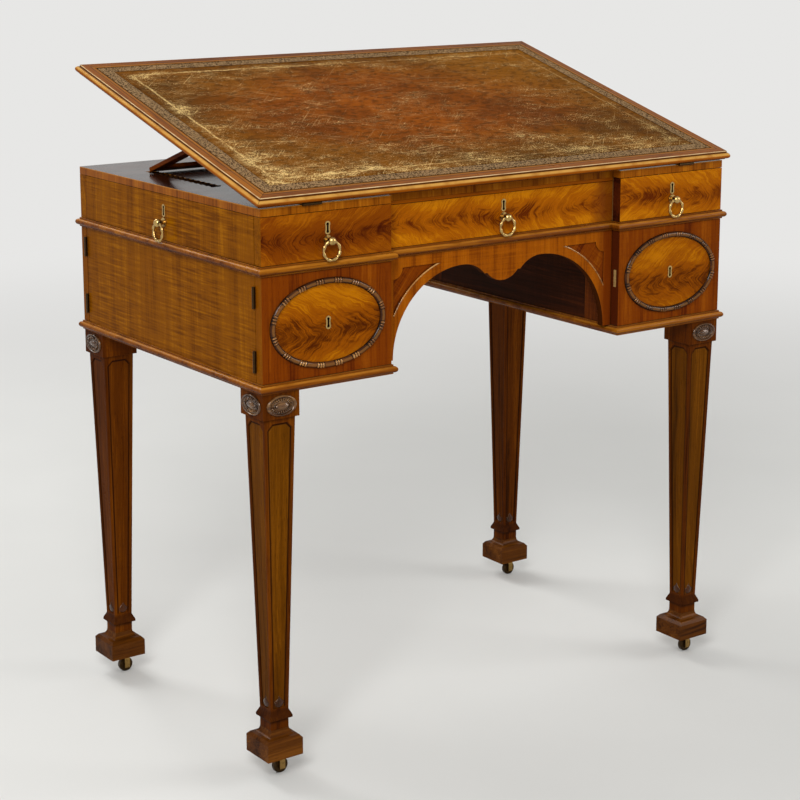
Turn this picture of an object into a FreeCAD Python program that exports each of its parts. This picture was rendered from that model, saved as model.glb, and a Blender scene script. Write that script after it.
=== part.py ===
"""Artist's table: a kneehole case on four tapered legs, with a rising drawing slab.

Millimetres, +Z up. The origin is on the floor, under the middle of the whole table.
The front, with the centre drawer and the kneehole arch, faces -Y.
"""
import math
import os

import FreeCAD, Part
import Sketcher

Vector = FreeCAD.Vector
Rotation = FreeCAD.Rotation
Placement = FreeCAD.Placement

SIZES = {
    # Case
    "case_width": 850,
    "case_depth": 522,
    "case_top_height": 817,
    "pedestal_width": 212.5,
    "break_depth": 17,
    "top_board": 11.5,
    "frieze_height": 67,
    "centre_rail": 5,
    "waist_board": 13.5,
    "cupboard_height": 148,
    "base_board": 13.5,
    "side_board": 14,
    "divider_board": 12,
    "moulding_projection": 7,
    "moulding_fillet": 2.2,
    "moulding_ledge": 2,
    # Kneehole arches
    "arch_board": 12,
    "arch_jamb": 15,
    "arch_apron": 23,
    "arch_cusp_half": 37,
    "arch_cusp_drop": 14,
    "arch_step": 3.5,
    "pendant_half": 28.5,
    "pendant_drop": 13.5,
    "spandrel_band": 14.5,
    "spandrel_margin": 16,
    "spandrel_depth": 2,
    # Legs, plinth feet and paterae
    "leg_block": 58.5,
    "leg_block_height": 36.5,
    "leg_top": 49.6,
    "leg_neck": 29.5,
    "panel_margin": 5,
    "panel_depth": 1.6,
    "panel_top_rail": 8,
    "panel_foot_rail": 4,
    "panel_cut_corner": 8,
    "collar_width": 38,
    "collar_lip": 3.5,
    "collar_slope": 9,
    "neck_height": 15,
    "plinth_width": 58,
    "plinth_height": 25,
    "shoulder_width": 50,
    "shoulder_height": 4.5,
    "plinth_clearance": 32.5,
    "patera_width": 48,
    "patera_height": 29,
    "patera_back": 1.6,
    "patera_rim": 2.2,
    "patera_leaf": 4,
    # Castors
    "wheel_radius": 11.5,
    "wheel_width": 9,
    "wheel_rounding": 1.5,
    "axle_radius": 2.5,
    "castor_trail": 8,
    "castor_pin_radius": 3,
    "castor_plate_radius": 14,
    "castor_plate": 2.2,
    "fork_crown": 4.5,
    "fork_cheek": 3,
    "fork_margin": 4.5,
    "castor_head": 1.4,
    # Drawers
    "drawer_front": 16.4,
    "drawer_gap": 0.6,
    "drawer_side": 8,
    "drawer_bottom": 5,
    "drawer_headroom": 7,
    "corner_drawer_room": 6,
    "centre_drawer_room": 40,
    "side_drawer_width": 212,
    "corner_post": 15,
    "guide_board": 9,
    "lift_clearance": 0.3,
    # Doors
    "door_thickness": 15.8,
    "door_gap": 0.8,
    "oval_width": 181,
    "oval_height": 117,
    "oval_bead": 4.3,
    # Brass fittings
    "hinge_radius": 2.2,
    "hinge_pin": 1.1,
    "hinge_length": 30,
    "hinge_leaf": 15.5,
    "leaf_thickness": 0.5,
    "leaf_gap": 1.2,
    "running_clearance": 0.05,
    "hinge_stand": 0.3,
    "door_hinge_inset": 14,
    "slab_hinge_offset": 345,
    "ring_radius": 13.2,
    "ring_bar": 2,
    "ring_stand": 10,
    "boss_radius": 6.4,
    "boss_stem": 3.4,
    "boss_plate_radius": 6.8,
    "boss_plate": 1.2,
    "ring_height": 26.5,
    "keyhole_rise": 17,
    "keyhole_radius": 2.1,
    "keyhole_slot": 1.5,
    "keyhole_length": 10.2,
    "escutcheon_rim": 2.1,
    "escutcheon": 0.7,
    "lock_width": 36,
    "lock_height": 26,
    "lock_thickness": 7,
    "strike_width": 5,
    "strike_height": 26,
    # Drawing slab
    "slab_width": 868,
    "slab_depth": 537.5,
    "slab_thickness": 14,
    "slab_overhang": 7,
    "slab_member": 50,
    "slab_border": 22,
    "slab_edge_step": 3,
    "slab_edge_bead": 4.6,
    "slab_edge_inset": 5,
    "panel_thickness": 4.6,
    "leather_thickness": 1.2,
    "slab_tilt": 15.6,
    # Prop and ratchet
    "prop_pivot_distance": 231,
    "prop_length": 188,
    "prop_thickness": 6.4,
    "prop_bar": 18,
    "prop_pin_radius": 2,
    "prop_lift": 1,
    "prop_foot_clearance": 0.4,
    "bracket_length": 16,
    "bracket_width": 10,
    "ratchet_length": 195,
    "ratchet_start": 216,
    "ratchet_width": 15,
    "ratchet_depth": 5,
    "ratchet_proud": 1,
    "ratchet_notch": 2.4,
}
RATCHET_TEETH = 13


class Dim:
    """A size with its number and the expression that the document evaluates."""

    def __init__(self, value, text):
        self.value = float(value)
        self.text = text

    def _join(self, other, sign, value):
        return Dim(value, "(%s %s %s)" % (self.text, sign, as_dim(other).text))

    def __add__(self, other):
        return self._join(other, "+", self.value + as_dim(other).value)

    def __sub__(self, other):
        return self._join(other, "-", self.value - as_dim(other).value)

    def __mul__(self, other):
        return self._join(other, "*", self.value * as_dim(other).value)

    def __truediv__(self, other):
        return self._join(other, "/", self.value / as_dim(other).value)

    def __radd__(self, other):
        return as_dim(other) + self

    def __rsub__(self, other):
        return as_dim(other) - self

    def __rmul__(self, other):
        return as_dim(other) * self

    def __neg__(self):
        return self * -1


def as_dim(number):
    """A plain number as a size; a size stays as it is."""
    return number if isinstance(number, Dim) else Dim(number, repr(number))


def cosine(angle):
    return Dim(math.cos(math.radians(angle.value)), "cos(%s)" % angle.text)


def sine(angle):
    return Dim(math.sin(math.radians(angle.value)), "sin(%s)" % angle.text)


def square_root(size):
    return Dim(math.sqrt(size.value), "sqrt(%s)" % size.text)


def arc_sine(ratio):
    return Dim(math.degrees(math.asin(ratio.value)), "asin(%s)" % ratio.text)


def arc_tangent(ratio):
    return Dim(math.degrees(math.atan(ratio.value)), "atan(%s)" % ratio.text)


doc = FreeCAD.newDocument("ArtistTable")
sheet = doc.addObject("Spreadsheet::Sheet", "Dims")
size = {}
for row, (alias, number) in enumerate(SIZES.items(), start=1):
    cell = "A%d" % row
    sheet.set(cell, str(number))
    sheet.setAlias(cell, alias)
    size[alias] = Dim(number, "Dims." + alias)
doc.recompute()

ON_FRONT = Rotation(Vector(1, 0, 0), 90)
ALONG = {"X": Rotation(Vector(0, 1, 0), 90), "Y": Rotation(Vector(1, 0, 0), -90), "Z": Rotation()}
SECTION_AT_FRONT = Rotation(Vector(0, 1, 0), Vector(0, 0, 1), Vector(1, 0, 0), "ZXY")
nodes = []


def add(kind, name):
    return doc.addObject(kind, name)


def bind(item, prop, value):
    item.setExpression(prop, as_dim(value).text)


def place(item, base, rotation=None):
    """Puts an object at a bound point, turned by a fixed rotation."""
    item.Placement = Placement(Vector(), rotation or Rotation())
    for axis, value in zip("xyz", base):
        bind(item, "Placement.Base." + axis, value)
    return item


def box(name, xs, ys, zs):
    """A board between two planes along each axis."""
    item = add("Part::Box", name)
    for prop, (low, high) in zip(("Length", "Width", "Height"), (xs, ys, zs)):
        bind(item, prop, high - low)
    return place(item, (xs[0], ys[0], zs[0]))


def rod(name, base, radius, length, axis="Z"):
    item = add("Part::Cylinder", name)
    bind(item, "Radius", radius)
    bind(item, "Height", length)
    return place(item, base, ALONG[axis])


def ball(name, centre, radius):
    item = add("Part::Sphere", name)
    bind(item, "Radius", radius)
    return place(item, centre)


def frustum(name, zs, low_x, low_y, high_x, high_y):
    """A tapered block: a rectangle at the lower height drawn out to one at the upper height."""
    item = add("Part::Wedge", name)
    bind(item, "Ymin", 0)
    bind(item, "Ymax", zs[1] - zs[0])
    for mark, xs, ys in (("", low_x, low_y), ("2", high_x, high_y)):
        bind(item, "X%smin" % mark, xs[0])
        bind(item, "X%smax" % mark, xs[1])
        bind(item, "Z%smin" % mark, -ys[1])
        bind(item, "Z%smax" % mark, -ys[0])
    return place(item, (0, 0, zs[0]), ON_FRONT)


def taper(name, zs, low_half, high_half):
    low, high = (-low_half, low_half), (-high_half, high_half)
    return frustum(name, zs, low, low, high, high)


def fuse(name, parts):
    item = add("Part::MultiFuse", name)
    item.Shapes = parts
    item.Refine = True
    return item


def cut(name, base, tools):
    item = add("Part::Cut", name)
    item.Base = base
    item.Tool = tools[0] if len(tools) == 1 else fuse(name + "_tools", tools)
    item.Refine = True
    return item


def group(name, parts, base=(0, 0, 0), rotation=None):
    """Separate solids kept together, moved as one."""
    item = add("Part::Compound", name)
    item.Links = parts
    return place(item, base, rotation)


def tilted(name, parts, base, angle):
    """Separate solids turned about the X axis by a bound angle."""
    item = group(name, parts, base, Rotation(Vector(1, 0, 0), angle.value))
    bind(item, "Placement.Rotation.Angle", angle)
    return item


def node(label, item):
    """Marks a finished sub-part, whose label names its file."""
    item.Label = label
    nodes.append(item)
    return item


def arc_centre(start, end, radius, turn):
    """Centre of the lesser arc between two points, to the left for a turn of +1."""
    chord = end - start
    rise = math.sqrt(radius * radius - chord.Length * chord.Length / 4)
    across = Vector(-chord.y, chord.x, 0).normalize()
    return (start + end) * 0.5 + across * (rise * turn)


def sketch(name, points, base=(0, 0, 0), rotation=None):
    """A closed outline. Each point has x, y and, for a round stretch after it, radius and turn."""
    item = add("Sketcher::SketchObject", name)
    spots = [Vector(as_dim(p[0]).value, as_dim(p[1]).value, 0) for p in points]
    heads = []
    for index, point in enumerate(points):
        start, end = spots[index], spots[(index + 1) % len(points)]
        if len(point) == 2:
            item.addGeometry(Part.LineSegment(start, end))
            heads.append((1, 2))
            continue
        radius, turn = point[2], point[3]
        centre = arc_centre(start, end, radius.value, turn)
        first, last = (start, end) if turn > 0 else (end, start)
        angles = [math.atan2(p.y - centre.y, p.x - centre.x) for p in (first, last)]
        circle = Part.Circle(centre, Vector(0, 0, 1), radius.value)
        item.addGeometry(Part.ArcOfCircle(circle, angles[0], angles[1]))
        heads.append((1, 2) if turn > 0 else (2, 1))
        number = item.addConstraint(Sketcher.Constraint("Radius", index, radius.value))
        bind(item, "Constraints[%d]" % number, radius)
    for index, point in enumerate(points):
        following = (index + 1) % len(points)
        item.addConstraint(
            Sketcher.Constraint("Coincident", index, heads[index][1], following, heads[following][0])
        )
        for kind, value in zip(("DistanceX", "DistanceY"), point[:2]):
            constraint = Sketcher.Constraint(kind, -1, 1, index, heads[index][0], as_dim(value).value)
            number = item.addConstraint(constraint)
            bind(item, "Constraints[%d]" % number, value)
    return place(item, base, rotation)


def run_round(name, section, path, corners):
    """A moulding run along a closed path with mitred corners."""
    item = add("Part::Sweep", name)
    item.Sections = [section]
    item.Spine = (path, ["Edge%d" % (number + 1) for number in range(corners)])
    item.Solid = True
    item.Frenet = False
    item.Transition = "Right corner"
    return item


def extrude(name, outline, length):
    item = add("Part::Extrusion", name)
    item.Base = outline
    item.DirMode = "Normal"
    item.Solid = True
    bind(item, "LengthFwd", length)
    return item


def oval_bead(name, width, height, radius):
    """A round bead that follows an oval lying flat on the XY plane."""
    oval = add("Part::Ellipse", name + "_line")
    bind(oval, "MajorRadius", width / 2)
    bind(oval, "MinorRadius", height / 2)
    ring = add("Part::Circle", name + "_section")
    bind(ring, "Radius", radius)
    place(ring, (width / 2, 0, 0), ON_FRONT)
    item = add("Part::Sweep", name)
    item.Sections = [ring]
    item.Spine = (oval, ["Edge1"])
    item.Solid = True
    item.Frenet = True
    return item


def mirrored(span, side):
    """A span along X on the right (side +1), or its mirror image on the left (side -1)."""
    return span if side > 0 else (-span[1], -span[0])


# Levels and planes that the pieces share
half_width = size["case_width"] / 2
knob_reach = size["ring_stand"] + size["boss_radius"]
middle_y = (knob_reach - size["moulding_projection"]) / 2
front = middle_y - size["case_depth"] / 2
rear = middle_y + size["case_depth"] / 2
carcase_front = front + size["break_depth"]
carcase_rear = rear - size["break_depth"]
inner_x = half_width - size["pedestal_width"]
top_z = size["case_top_height"]
frieze_top = top_z - size["top_board"]
frieze_bottom = frieze_top - size["frieze_height"]
cupboard_top = frieze_bottom - size["waist_board"]
cupboard_bottom = cupboard_top - size["cupboard_height"]
base_bottom = cupboard_bottom - size["base_board"]
block_bottom = base_bottom - size["leg_block_height"]
leg_x = half_width - size["leg_block"] / 2
leg_ys = {"front": front + size["leg_block"] / 2, "rear": rear - size["leg_block"] / 2}
corners = [(end, hand, side) for end in ("front", "rear") for hand, side in (("left", -1), ("right", 1))]


def stepped_board(name, zs):
    """A board with the breakfront plan: the pedestals stand forward of the middle."""
    middle = box(name + "_middle", (-inner_x, inner_x), (carcase_front, carcase_rear), zs)
    ends = [box(name + "_end%d" % side, mirrored((inner_x, half_width), side), (front, rear), zs)
            for side in (-1, 1)]
    return fuse(name, [middle] + ends)


def nosing_section(name, base, zs):
    """Half-round moulding between two small fillets, which projects towards -Y."""
    fillet, ledge = size["moulding_fillet"], size["moulding_ledge"]
    bottom, top = zs
    nose = (top - bottom - 2 * fillet) / 2
    shoulder = size["moulding_projection"] - nose
    points = [
        (0, bottom),
        (0, top),
        (-ledge, top),
        (-ledge, top - fillet),
        (-shoulder, top - fillet, nose, 1),
        (-size["moulding_projection"], bottom + fillet + nose, nose, 1),
        (-shoulder, bottom + fillet),
        (-ledge, bottom + fillet),
        (-ledge, bottom),
    ]
    return sketch(name, points, base, SECTION_AT_FRONT)


# Legs: block, tapered shaft with sunk panels, sloped collar and neck
plinth_top = size["plinth_clearance"] + size["plinth_height"]
shoulder_top = plinth_top + size["shoulder_height"]
neck_half = size["leg_neck"] / 2
cavetto = size["shoulder_width"] / 2 - neck_half
neck_bottom = shoulder_top + cavetto
lip_bottom = neck_bottom + size["neck_height"]
lip_top = lip_bottom + size["collar_lip"]
shaft_bottom = lip_top + size["collar_slope"]
shaft_half = size["leg_top"] / 2
shaft_slope = (shaft_half - neck_half) / (block_bottom - shaft_bottom)
block_half = size["leg_block"] / 2
collar_half = size["collar_width"] / 2


def shaft_half_at(z):
    return neck_half + shaft_slope * (z - shaft_bottom)


def square(half):
    return (-half, half)


def sunk_panel(name, turn):
    """The hollow of one sunk panel with cut top corners, turned by quarter turns from the front."""
    corner = size["panel_cut_corner"]
    top = block_bottom - size["panel_top_rail"]
    levels = [(shaft_bottom + size["panel_foot_rail"], 0), (top - corner, 0), (top, corner)]
    wide = [square(shaft_half_at(z) - size["panel_margin"] - less) for z, less in levels]
    deep = [(-shaft_half_at(z) - size["panel_depth"], -shaft_half_at(z) + size["panel_depth"])
            for z, less in levels]
    hollows = []
    for mark, low, high in (("field", 0, 1), ("head", 1, 2)):
        zs = (levels[low][0], levels[high][0])
        hollows.append(frustum("%s_%s" % (name, mark), zs, wide[low], deep[low], wide[high], deep[high]))
    hollow = fuse(name + "_hollow", hollows)
    return group(name, [hollow], rotation=Rotation(Vector(0, 0, 1), 90 * turn))


def leg_post():
    shaft = taper("leg_shaft", (shaft_bottom, block_bottom), neck_half, shaft_half)
    panelled = cut("leg_panelled", shaft, [sunk_panel("leg_panel%d" % turn, turn) for turn in range(4)])
    neck = box("leg_neck_post", square(neck_half), square(neck_half), (neck_bottom, shaft_bottom))
    lip = box("leg_lip", square(collar_half), square(collar_half), (lip_bottom, lip_top))
    slope = taper("leg_slope", (lip_top, shaft_bottom), collar_half, neck_half)
    block = box("leg_head", square(block_half), square(block_half), (block_bottom, base_bottom))
    return fuse("leg_post", [panelled, neck, lip, slope, block])


def plinth_foot():
    """Square block with a sloped shoulder and a cavetto up to the neck."""
    half, shoulder_half = size["plinth_width"] / 2, size["shoulder_width"] / 2
    block = box("plinth_block", square(half), square(half), (size["plinth_clearance"], plinth_top))
    shoulder = taper("plinth_shoulder", (plinth_top, shoulder_top), half, shoulder_half)
    stool = box("plinth_stool", square(shoulder_half), square(shoulder_half), (shoulder_top, neck_bottom))
    length = size["plinth_width"]
    coves = []
    for side in (-1, 1):
        coves.append(rod("plinth_cove_x%d" % side, (-length / 2, side * shoulder_half, neck_bottom),
                         cavetto, length, "X"))
        coves.append(rod("plinth_cove_y%d" % side, (side * shoulder_half, -length / 2, neck_bottom),
                         cavetto, length, "Y"))
    return fuse("plinth_foot", [block, shoulder, cut("plinth_cavetto", stool, coves)])


def patera():
    """Oval rosette lying on the XY plane, with a raised rim and a leaf."""
    width, height, rim = size["patera_width"], size["patera_height"], size["patera_rim"]
    oval = add("Part::Ellipse", "patera_oval")
    bind(oval, "MajorRadius", width / 2)
    bind(oval, "MinorRadius", height / 2)
    back = extrude("patera_disc", oval, size["patera_back"])
    bead = oval_bead("patera_bead", width - 2 * rim, height - 2 * rim, rim)
    leaf = add("Part::Ellipsoid", "patera_leaf")
    bind(leaf, "Radius1", size["patera_leaf"])
    bind(leaf, "Radius2", width / 2 - 3 * rim)
    bind(leaf, "Radius3", height / 2 - 3 * rim)
    below = box("patera_below", (-width, width), (-width, width), (-width, as_dim(0)))
    return cut("patera", fuse("patera_whole", [back, bead, leaf]), [below])


post, foot, rosette = leg_post(), plinth_foot(), patera()
feet, rosettes = [], []
for end, hand, side in corners:
    spot = (side * leg_x, leg_ys[end], 0)
    node("leg_%s_%s" % (end, hand), group("leg_%s_%s_post" % (end, hand), [post], spot))
    feet.append(group("plinth_%s_%s" % (end, hand), [foot], spot))
    patera_z = (block_bottom + base_bottom) / 2
    face_y = front if end == "front" else rear
    half_turn = Rotation() if end == "front" else Rotation(Vector(0, 0, 1), 180)
    rosettes.append(group("patera_%s_%s_end" % (end, hand), [rosette],
                          (side * leg_x, face_y, patera_z), half_turn.multiply(ON_FRONT)))
    outward = Rotation(Vector(0, 0, 1), 90 * side)
    rosettes.append(group("patera_%s_%s_side" % (end, hand), [rosette],
                          (side * half_width, leg_ys[end], patera_z), outward.multiply(ON_FRONT)))
node("plinth_feet", group("plinth_feet_all", feet))
node("leg_paterae", group("leg_paterae_all", rosettes))


# Castors: the plate and pin stay on the foot, the fork swivels and the wheel rolls in it
clearance = size["running_clearance"]
plate_bottom = size["plinth_clearance"] - size["castor_plate"]
crown_top = plate_bottom - size["lift_clearance"]
crown_bottom = crown_top - size["fork_crown"]
pin_bottom = crown_bottom - size["lift_clearance"]
wheel_half = size["wheel_width"] / 2
cheek_in = wheel_half + size["lift_clearance"]
cheek_out = cheek_in + size["fork_cheek"]
axle_z = size["wheel_radius"]


def castor_plate():
    plate = rod("castor_disc", (0, 0, plate_bottom), size["castor_plate_radius"], size["castor_plate"])
    pin = rod("castor_pin", (0, 0, pin_bottom), size["castor_pin_radius"], plate_bottom - pin_bottom)
    head = rod("castor_pin_head", (0, 0, pin_bottom - size["castor_head"]),
               size["castor_pin_radius"] + size["castor_head"], size["castor_head"])
    return fuse("castor_plate_master", [plate, pin, head])


def castor_fork():
    trail, margin = size["castor_trail"], size["fork_margin"]
    reach = size["castor_pin_radius"] + margin
    crown = box("fork_crown_block", (-reach, trail + margin), square(cheek_out), (crown_bottom, crown_top))
    cheeks = [box("fork_cheek%d" % side, (trail - margin, trail + margin),
                  mirrored((cheek_in, cheek_out), side), (axle_z - margin, crown_bottom))
              for side in (-1, 1)]
    axle = rod("fork_axle", (trail, -cheek_out, axle_z), size["axle_radius"], 2 * cheek_out, "Y")
    bore = rod("fork_bore", (0, 0, crown_bottom), size["castor_pin_radius"] + clearance, size["fork_crown"])
    return cut("castor_fork_master", fuse("fork_whole", [crown, axle] + cheeks), [bore])


def castor_wheel():
    """A roller with eased edges: a full-width hub band and a tread between two tapered rims."""
    trail, ease = size["castor_trail"], size["wheel_rounding"]
    inner = size["wheel_radius"] - ease
    band = rod("wheel_band", (trail, -wheel_half, axle_z), inner, size["wheel_width"], "Y")
    tread = rod("wheel_tread", (trail, ease - wheel_half, axle_z), size["wheel_radius"],
                size["wheel_width"] - 2 * ease, "Y")
    rims = []
    for side in (-1, 1):
        rim = add("Part::Cone", "wheel_rim%d" % side)
        bind(rim, "Radius1", size["wheel_radius"])
        bind(rim, "Radius2", inner)
        bind(rim, "Height", ease)
        rims.append(place(rim, (trail, side * (wheel_half - ease), axle_z),
                          Rotation(Vector(1, 0, 0), -90 * side)))
    bore = rod("wheel_bore", (trail, -wheel_half, axle_z), size["axle_radius"] + clearance,
               size["wheel_width"], "Y")
    return cut("castor_wheel_master", fuse("wheel_whole", [band, tread] + rims), [bore])


plate_master, fork_master, wheel_master = castor_plate(), castor_fork(), castor_wheel()
plates = []
for end, hand, side in corners:
    spot = (side * leg_x, leg_ys[end], 0)
    plates.append(group("castor_plate_%s_%s" % (end, hand), [plate_master], spot))
    node("castor_fork_%s_%s" % (end, hand), group("fork_%s_%s" % (end, hand), [fork_master], spot))
    node("castor_wheel_%s_%s" % (end, hand), group("wheel_%s_%s" % (end, hand), [wheel_master], spot))
node("castor_plates", group("castor_plates_all", plates))


# Case: pedestal sides, floors and partitions, the two stepped boards and their mouldings
cupboard_zs = (cupboard_bottom, cupboard_top)
carcase_ys = (carcase_front, carcase_rear)
outer_xs = (half_width - size["side_board"], half_width)
inner_xs = (inner_x, inner_x + size["side_board"])
partition_ys = (middle_y - size["divider_board"] / 2, middle_y + size["divider_board"] / 2)
outer_sides, inner_sides, floors, base_runs = [], [], [], []
pedestal_xs = (inner_x, half_width)
base_zs = (base_bottom, cupboard_bottom)
half_pedestal, half_depth = size["pedestal_width"] / 2, size["case_depth"] / 2
base_path = sketch("base_path", [(-half_pedestal, -half_depth), (half_pedestal, -half_depth),
                                 (half_pedestal, half_depth), (-half_pedestal, half_depth)])
base_section = nosing_section("base_section", (0, -half_depth, 0), base_zs)
base_run = run_round("base_run", base_section, base_path, 4)
for side in (-1, 1):
    outer_sides.append(box("outer_side%d" % side, mirrored(outer_xs, side), carcase_ys, cupboard_zs))
    inner_sides.append(box("inner_side%d" % side, mirrored(inner_xs, side), carcase_ys, cupboard_zs))
    floors.append(box("cupboard_floor%d" % side, mirrored(pedestal_xs, side), (front, rear), base_zs))
    floors.append(box("cupboard_partition%d" % side, mirrored((inner_xs[1], outer_xs[0]), side),
                      partition_ys, cupboard_zs))
    base_runs.append(group("base_run%d" % side, [base_run], (side * (inner_x + half_pedestal), middle_y, 0)))
node("outer_sides", group("outer_sides_all", outer_sides))
node("inner_sides", group("inner_sides_all", inner_sides))
node("base_mouldings", group("base_mouldings_all", base_runs))

waist_zs = (cupboard_top, frieze_bottom)
node("waist_board", stepped_board("waist_stepped", waist_zs))
stepped_path = [
    (-half_width, front), (-inner_x, front), (-inner_x, carcase_front), (inner_x, carcase_front),
    (inner_x, front), (half_width, front), (half_width, rear), (inner_x, rear),
    (inner_x, carcase_rear), (-inner_x, carcase_rear), (-inner_x, rear), (-half_width, rear),
]
waist_path = sketch("waist_path", stepped_path)
waist_section = nosing_section("waist_section", (-inner_x - half_pedestal, front, 0), waist_zs)
node("waist_moulding", run_round("waist_run", waist_section, waist_path, len(stepped_path)))

bracket_outer = size["slab_width"] / 2 - size["slab_member"] - size["running_clearance"]
bracket_xs = (bracket_outer - size["bracket_width"], bracket_outer)
prop_xs = (bracket_xs[0] - size["drawer_gap"] - size["prop_bar"], bracket_xs[0] - size["drawer_gap"])
ratchet_x = (prop_xs[0] + prop_xs[1] - size["ratchet_width"]) / 2
ratchet_xs = (ratchet_x, ratchet_x + size["ratchet_width"])
ratchet_ys = (front + size["ratchet_start"], front + size["ratchet_start"] + size["ratchet_length"])
ratchet_bottom = top_z - size["ratchet_depth"]
grooves = [box("ratchet_groove%d" % side, mirrored(ratchet_xs, side), ratchet_ys,
               (ratchet_bottom, top_z + size["ratchet_proud"])) for side in (-1, 1)]
node("case_top", cut("case_top_grooved", stepped_board("top_stepped", (frieze_top, top_z)), grooves))


def ratchet():
    """Toothed strip: upright faces towards the front hold the prop's foot."""
    pitch = size["ratchet_length"] / RATCHET_TEETH
    crest = size["ratchet_depth"] + size["ratchet_proud"]
    points = [(size["ratchet_length"], 0), (0, 0)]
    for tooth in range(RATCHET_TEETH):
        points.append((tooth * pitch, crest))
        points.append(((tooth + 1) * pitch, crest - size["ratchet_notch"]))
    outline = sketch("ratchet_outline", points, rotation=SECTION_AT_FRONT)
    return extrude("ratchet_strip", outline, size["ratchet_width"])


strip = ratchet()
strips = [group("ratchet%d" % side, [strip], (mirrored(ratchet_xs, side)[0], ratchet_ys[0], ratchet_bottom))
          for side in (-1, 1)]
node("ratchet_strips", group("ratchet_strips_all", strips))


# Frieze: walls between the drawers, corner posts, drawer guides and the fixed rear fronts
frieze_zs = (frieze_bottom, frieze_top)
divider_xs = (inner_x, inner_x + size["divider_board"])
front_inner_x = half_width - size["break_depth"]
post_xs = (front_inner_x - size["corner_post"], front_inner_x)
guide_half = size["side_drawer_width"] / 2 + 2 * size["drawer_gap"]
guide_front_y = middle_y - guide_half - size["guide_board"]
frieze_walls = []
for side in (-1, 1):
    frieze_walls.append(box("frieze_divider%d" % side, mirrored(divider_xs, side), carcase_ys, frieze_zs))
    for mark, ys in (("front", (carcase_front, carcase_front + size["corner_post"])),
                     ("rear", (carcase_rear - size["corner_post"], carcase_rear))):
        frieze_walls.append(box("corner_post_%s%d" % (mark, side), mirrored(post_xs, side), ys, frieze_zs))
    for end, low in (("front", guide_front_y), ("rear", middle_y + guide_half)):
        frieze_walls.append(box("drawer_guide_%s%d" % (end, side),
                                mirrored((divider_xs[1], post_xs[1]), side),
                                (low, low + size["guide_board"]), frieze_zs))
node("inner_boards", group("inner_boards_all", floors + frieze_walls))
rear_fronts = [box("rear_front%d" % side, mirrored(pedestal_xs, side), (carcase_rear, rear), frieze_zs)
               for side in (-1, 1)]
rear_fronts.append(box("rear_front_middle", (-inner_x, inner_x),
                       (carcase_rear - size["arch_board"], carcase_rear), frieze_zs))
node("rear_frieze", group("rear_frieze_all", rear_fronts))


def spandrel(centre_x, radius, outer_x):
    """Hollows of the two sunk spandrels: a band follows the arch, and the outer top corner is notched."""
    notch, top = size["spandrel_margin"], cupboard_top - size["spandrel_margin"]
    rise, reach = top - cupboard_bottom, outer_x - centre_x
    tip_x = centre_x + square_root(radius * radius - rise * rise)
    foot_z = cupboard_bottom + square_root(radius * radius - reach * reach)
    points = [
        (tip_x, top),
        (outer_x - notch, top, notch, 1),
        (outer_x, top - notch),
        (outer_x, foot_z, radius, 1),
    ]
    outline = sketch("spandrel_outline", points, rotation=ON_FRONT)
    right = extrude("spandrel_right", outline, size["spandrel_depth"])
    left = add("Part::Mirroring", "spandrel_left")
    left.Source = right
    left.Normal = Vector(1, 0, 0)
    face_y = -size["arch_board"] + size["spandrel_depth"]
    return [group("spandrels", [right, left], (0, face_y, 0))]


def arch():
    """Apron board with two round arches that meet in a pendant."""
    jamb_x = inner_x - size["arch_jamb"]
    apex = cupboard_top - size["arch_apron"]
    radius = apex - cupboard_bottom
    apex_x = jamb_x - radius
    cusp_x, cusp_z = size["arch_cusp_half"], apex - size["arch_cusp_drop"]
    across = apex_x - cusp_x
    inner_radius = (across * across + size["arch_cusp_drop"] * size["arch_cusp_drop"]) \
        / (2 * size["arch_cusp_drop"])
    step_z, step_x = cusp_z - size["arch_step"], cusp_x - size["arch_step"]
    half, drop = size["pendant_half"], size["pendant_drop"]
    pendant_radius = (half * half + drop * drop) / (2 * drop)
    points = [
        (-inner_x, cupboard_top),
        (-inner_x, cupboard_bottom),
        (-jamb_x, cupboard_bottom, radius, -1),
        (-apex_x, apex, inner_radius, -1),
        (-cusp_x, cusp_z),
        (-step_x, step_z),
        (-half, step_z, pendant_radius, 1),
        (half, step_z),
        (step_x, step_z),
        (cusp_x, cusp_z, inner_radius, -1),
        (apex_x, apex, radius, -1),
        (jamb_x, cupboard_bottom),
        (inner_x, cupboard_bottom),
        (inner_x, cupboard_top),
    ]
    outline = sketch("arch_outline", points, rotation=ON_FRONT)
    board = extrude("arch_blank", outline, size["arch_board"])
    sunk = spandrel(apex_x, radius + size["spandrel_band"], inner_x - size["spandrel_margin"])
    return cut("arch_board_master", board, sunk)


arch_master = arch()
arches = [group("arch_front", [arch_master], (0, carcase_front + size["arch_board"], 0)),
          group("arch_rear", [arch_master], (0, carcase_rear - size["arch_board"], 0),
                Rotation(Vector(0, 0, 1), 180))]
node("kneehole_arches", group("kneehole_arches_all", arches))


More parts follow.
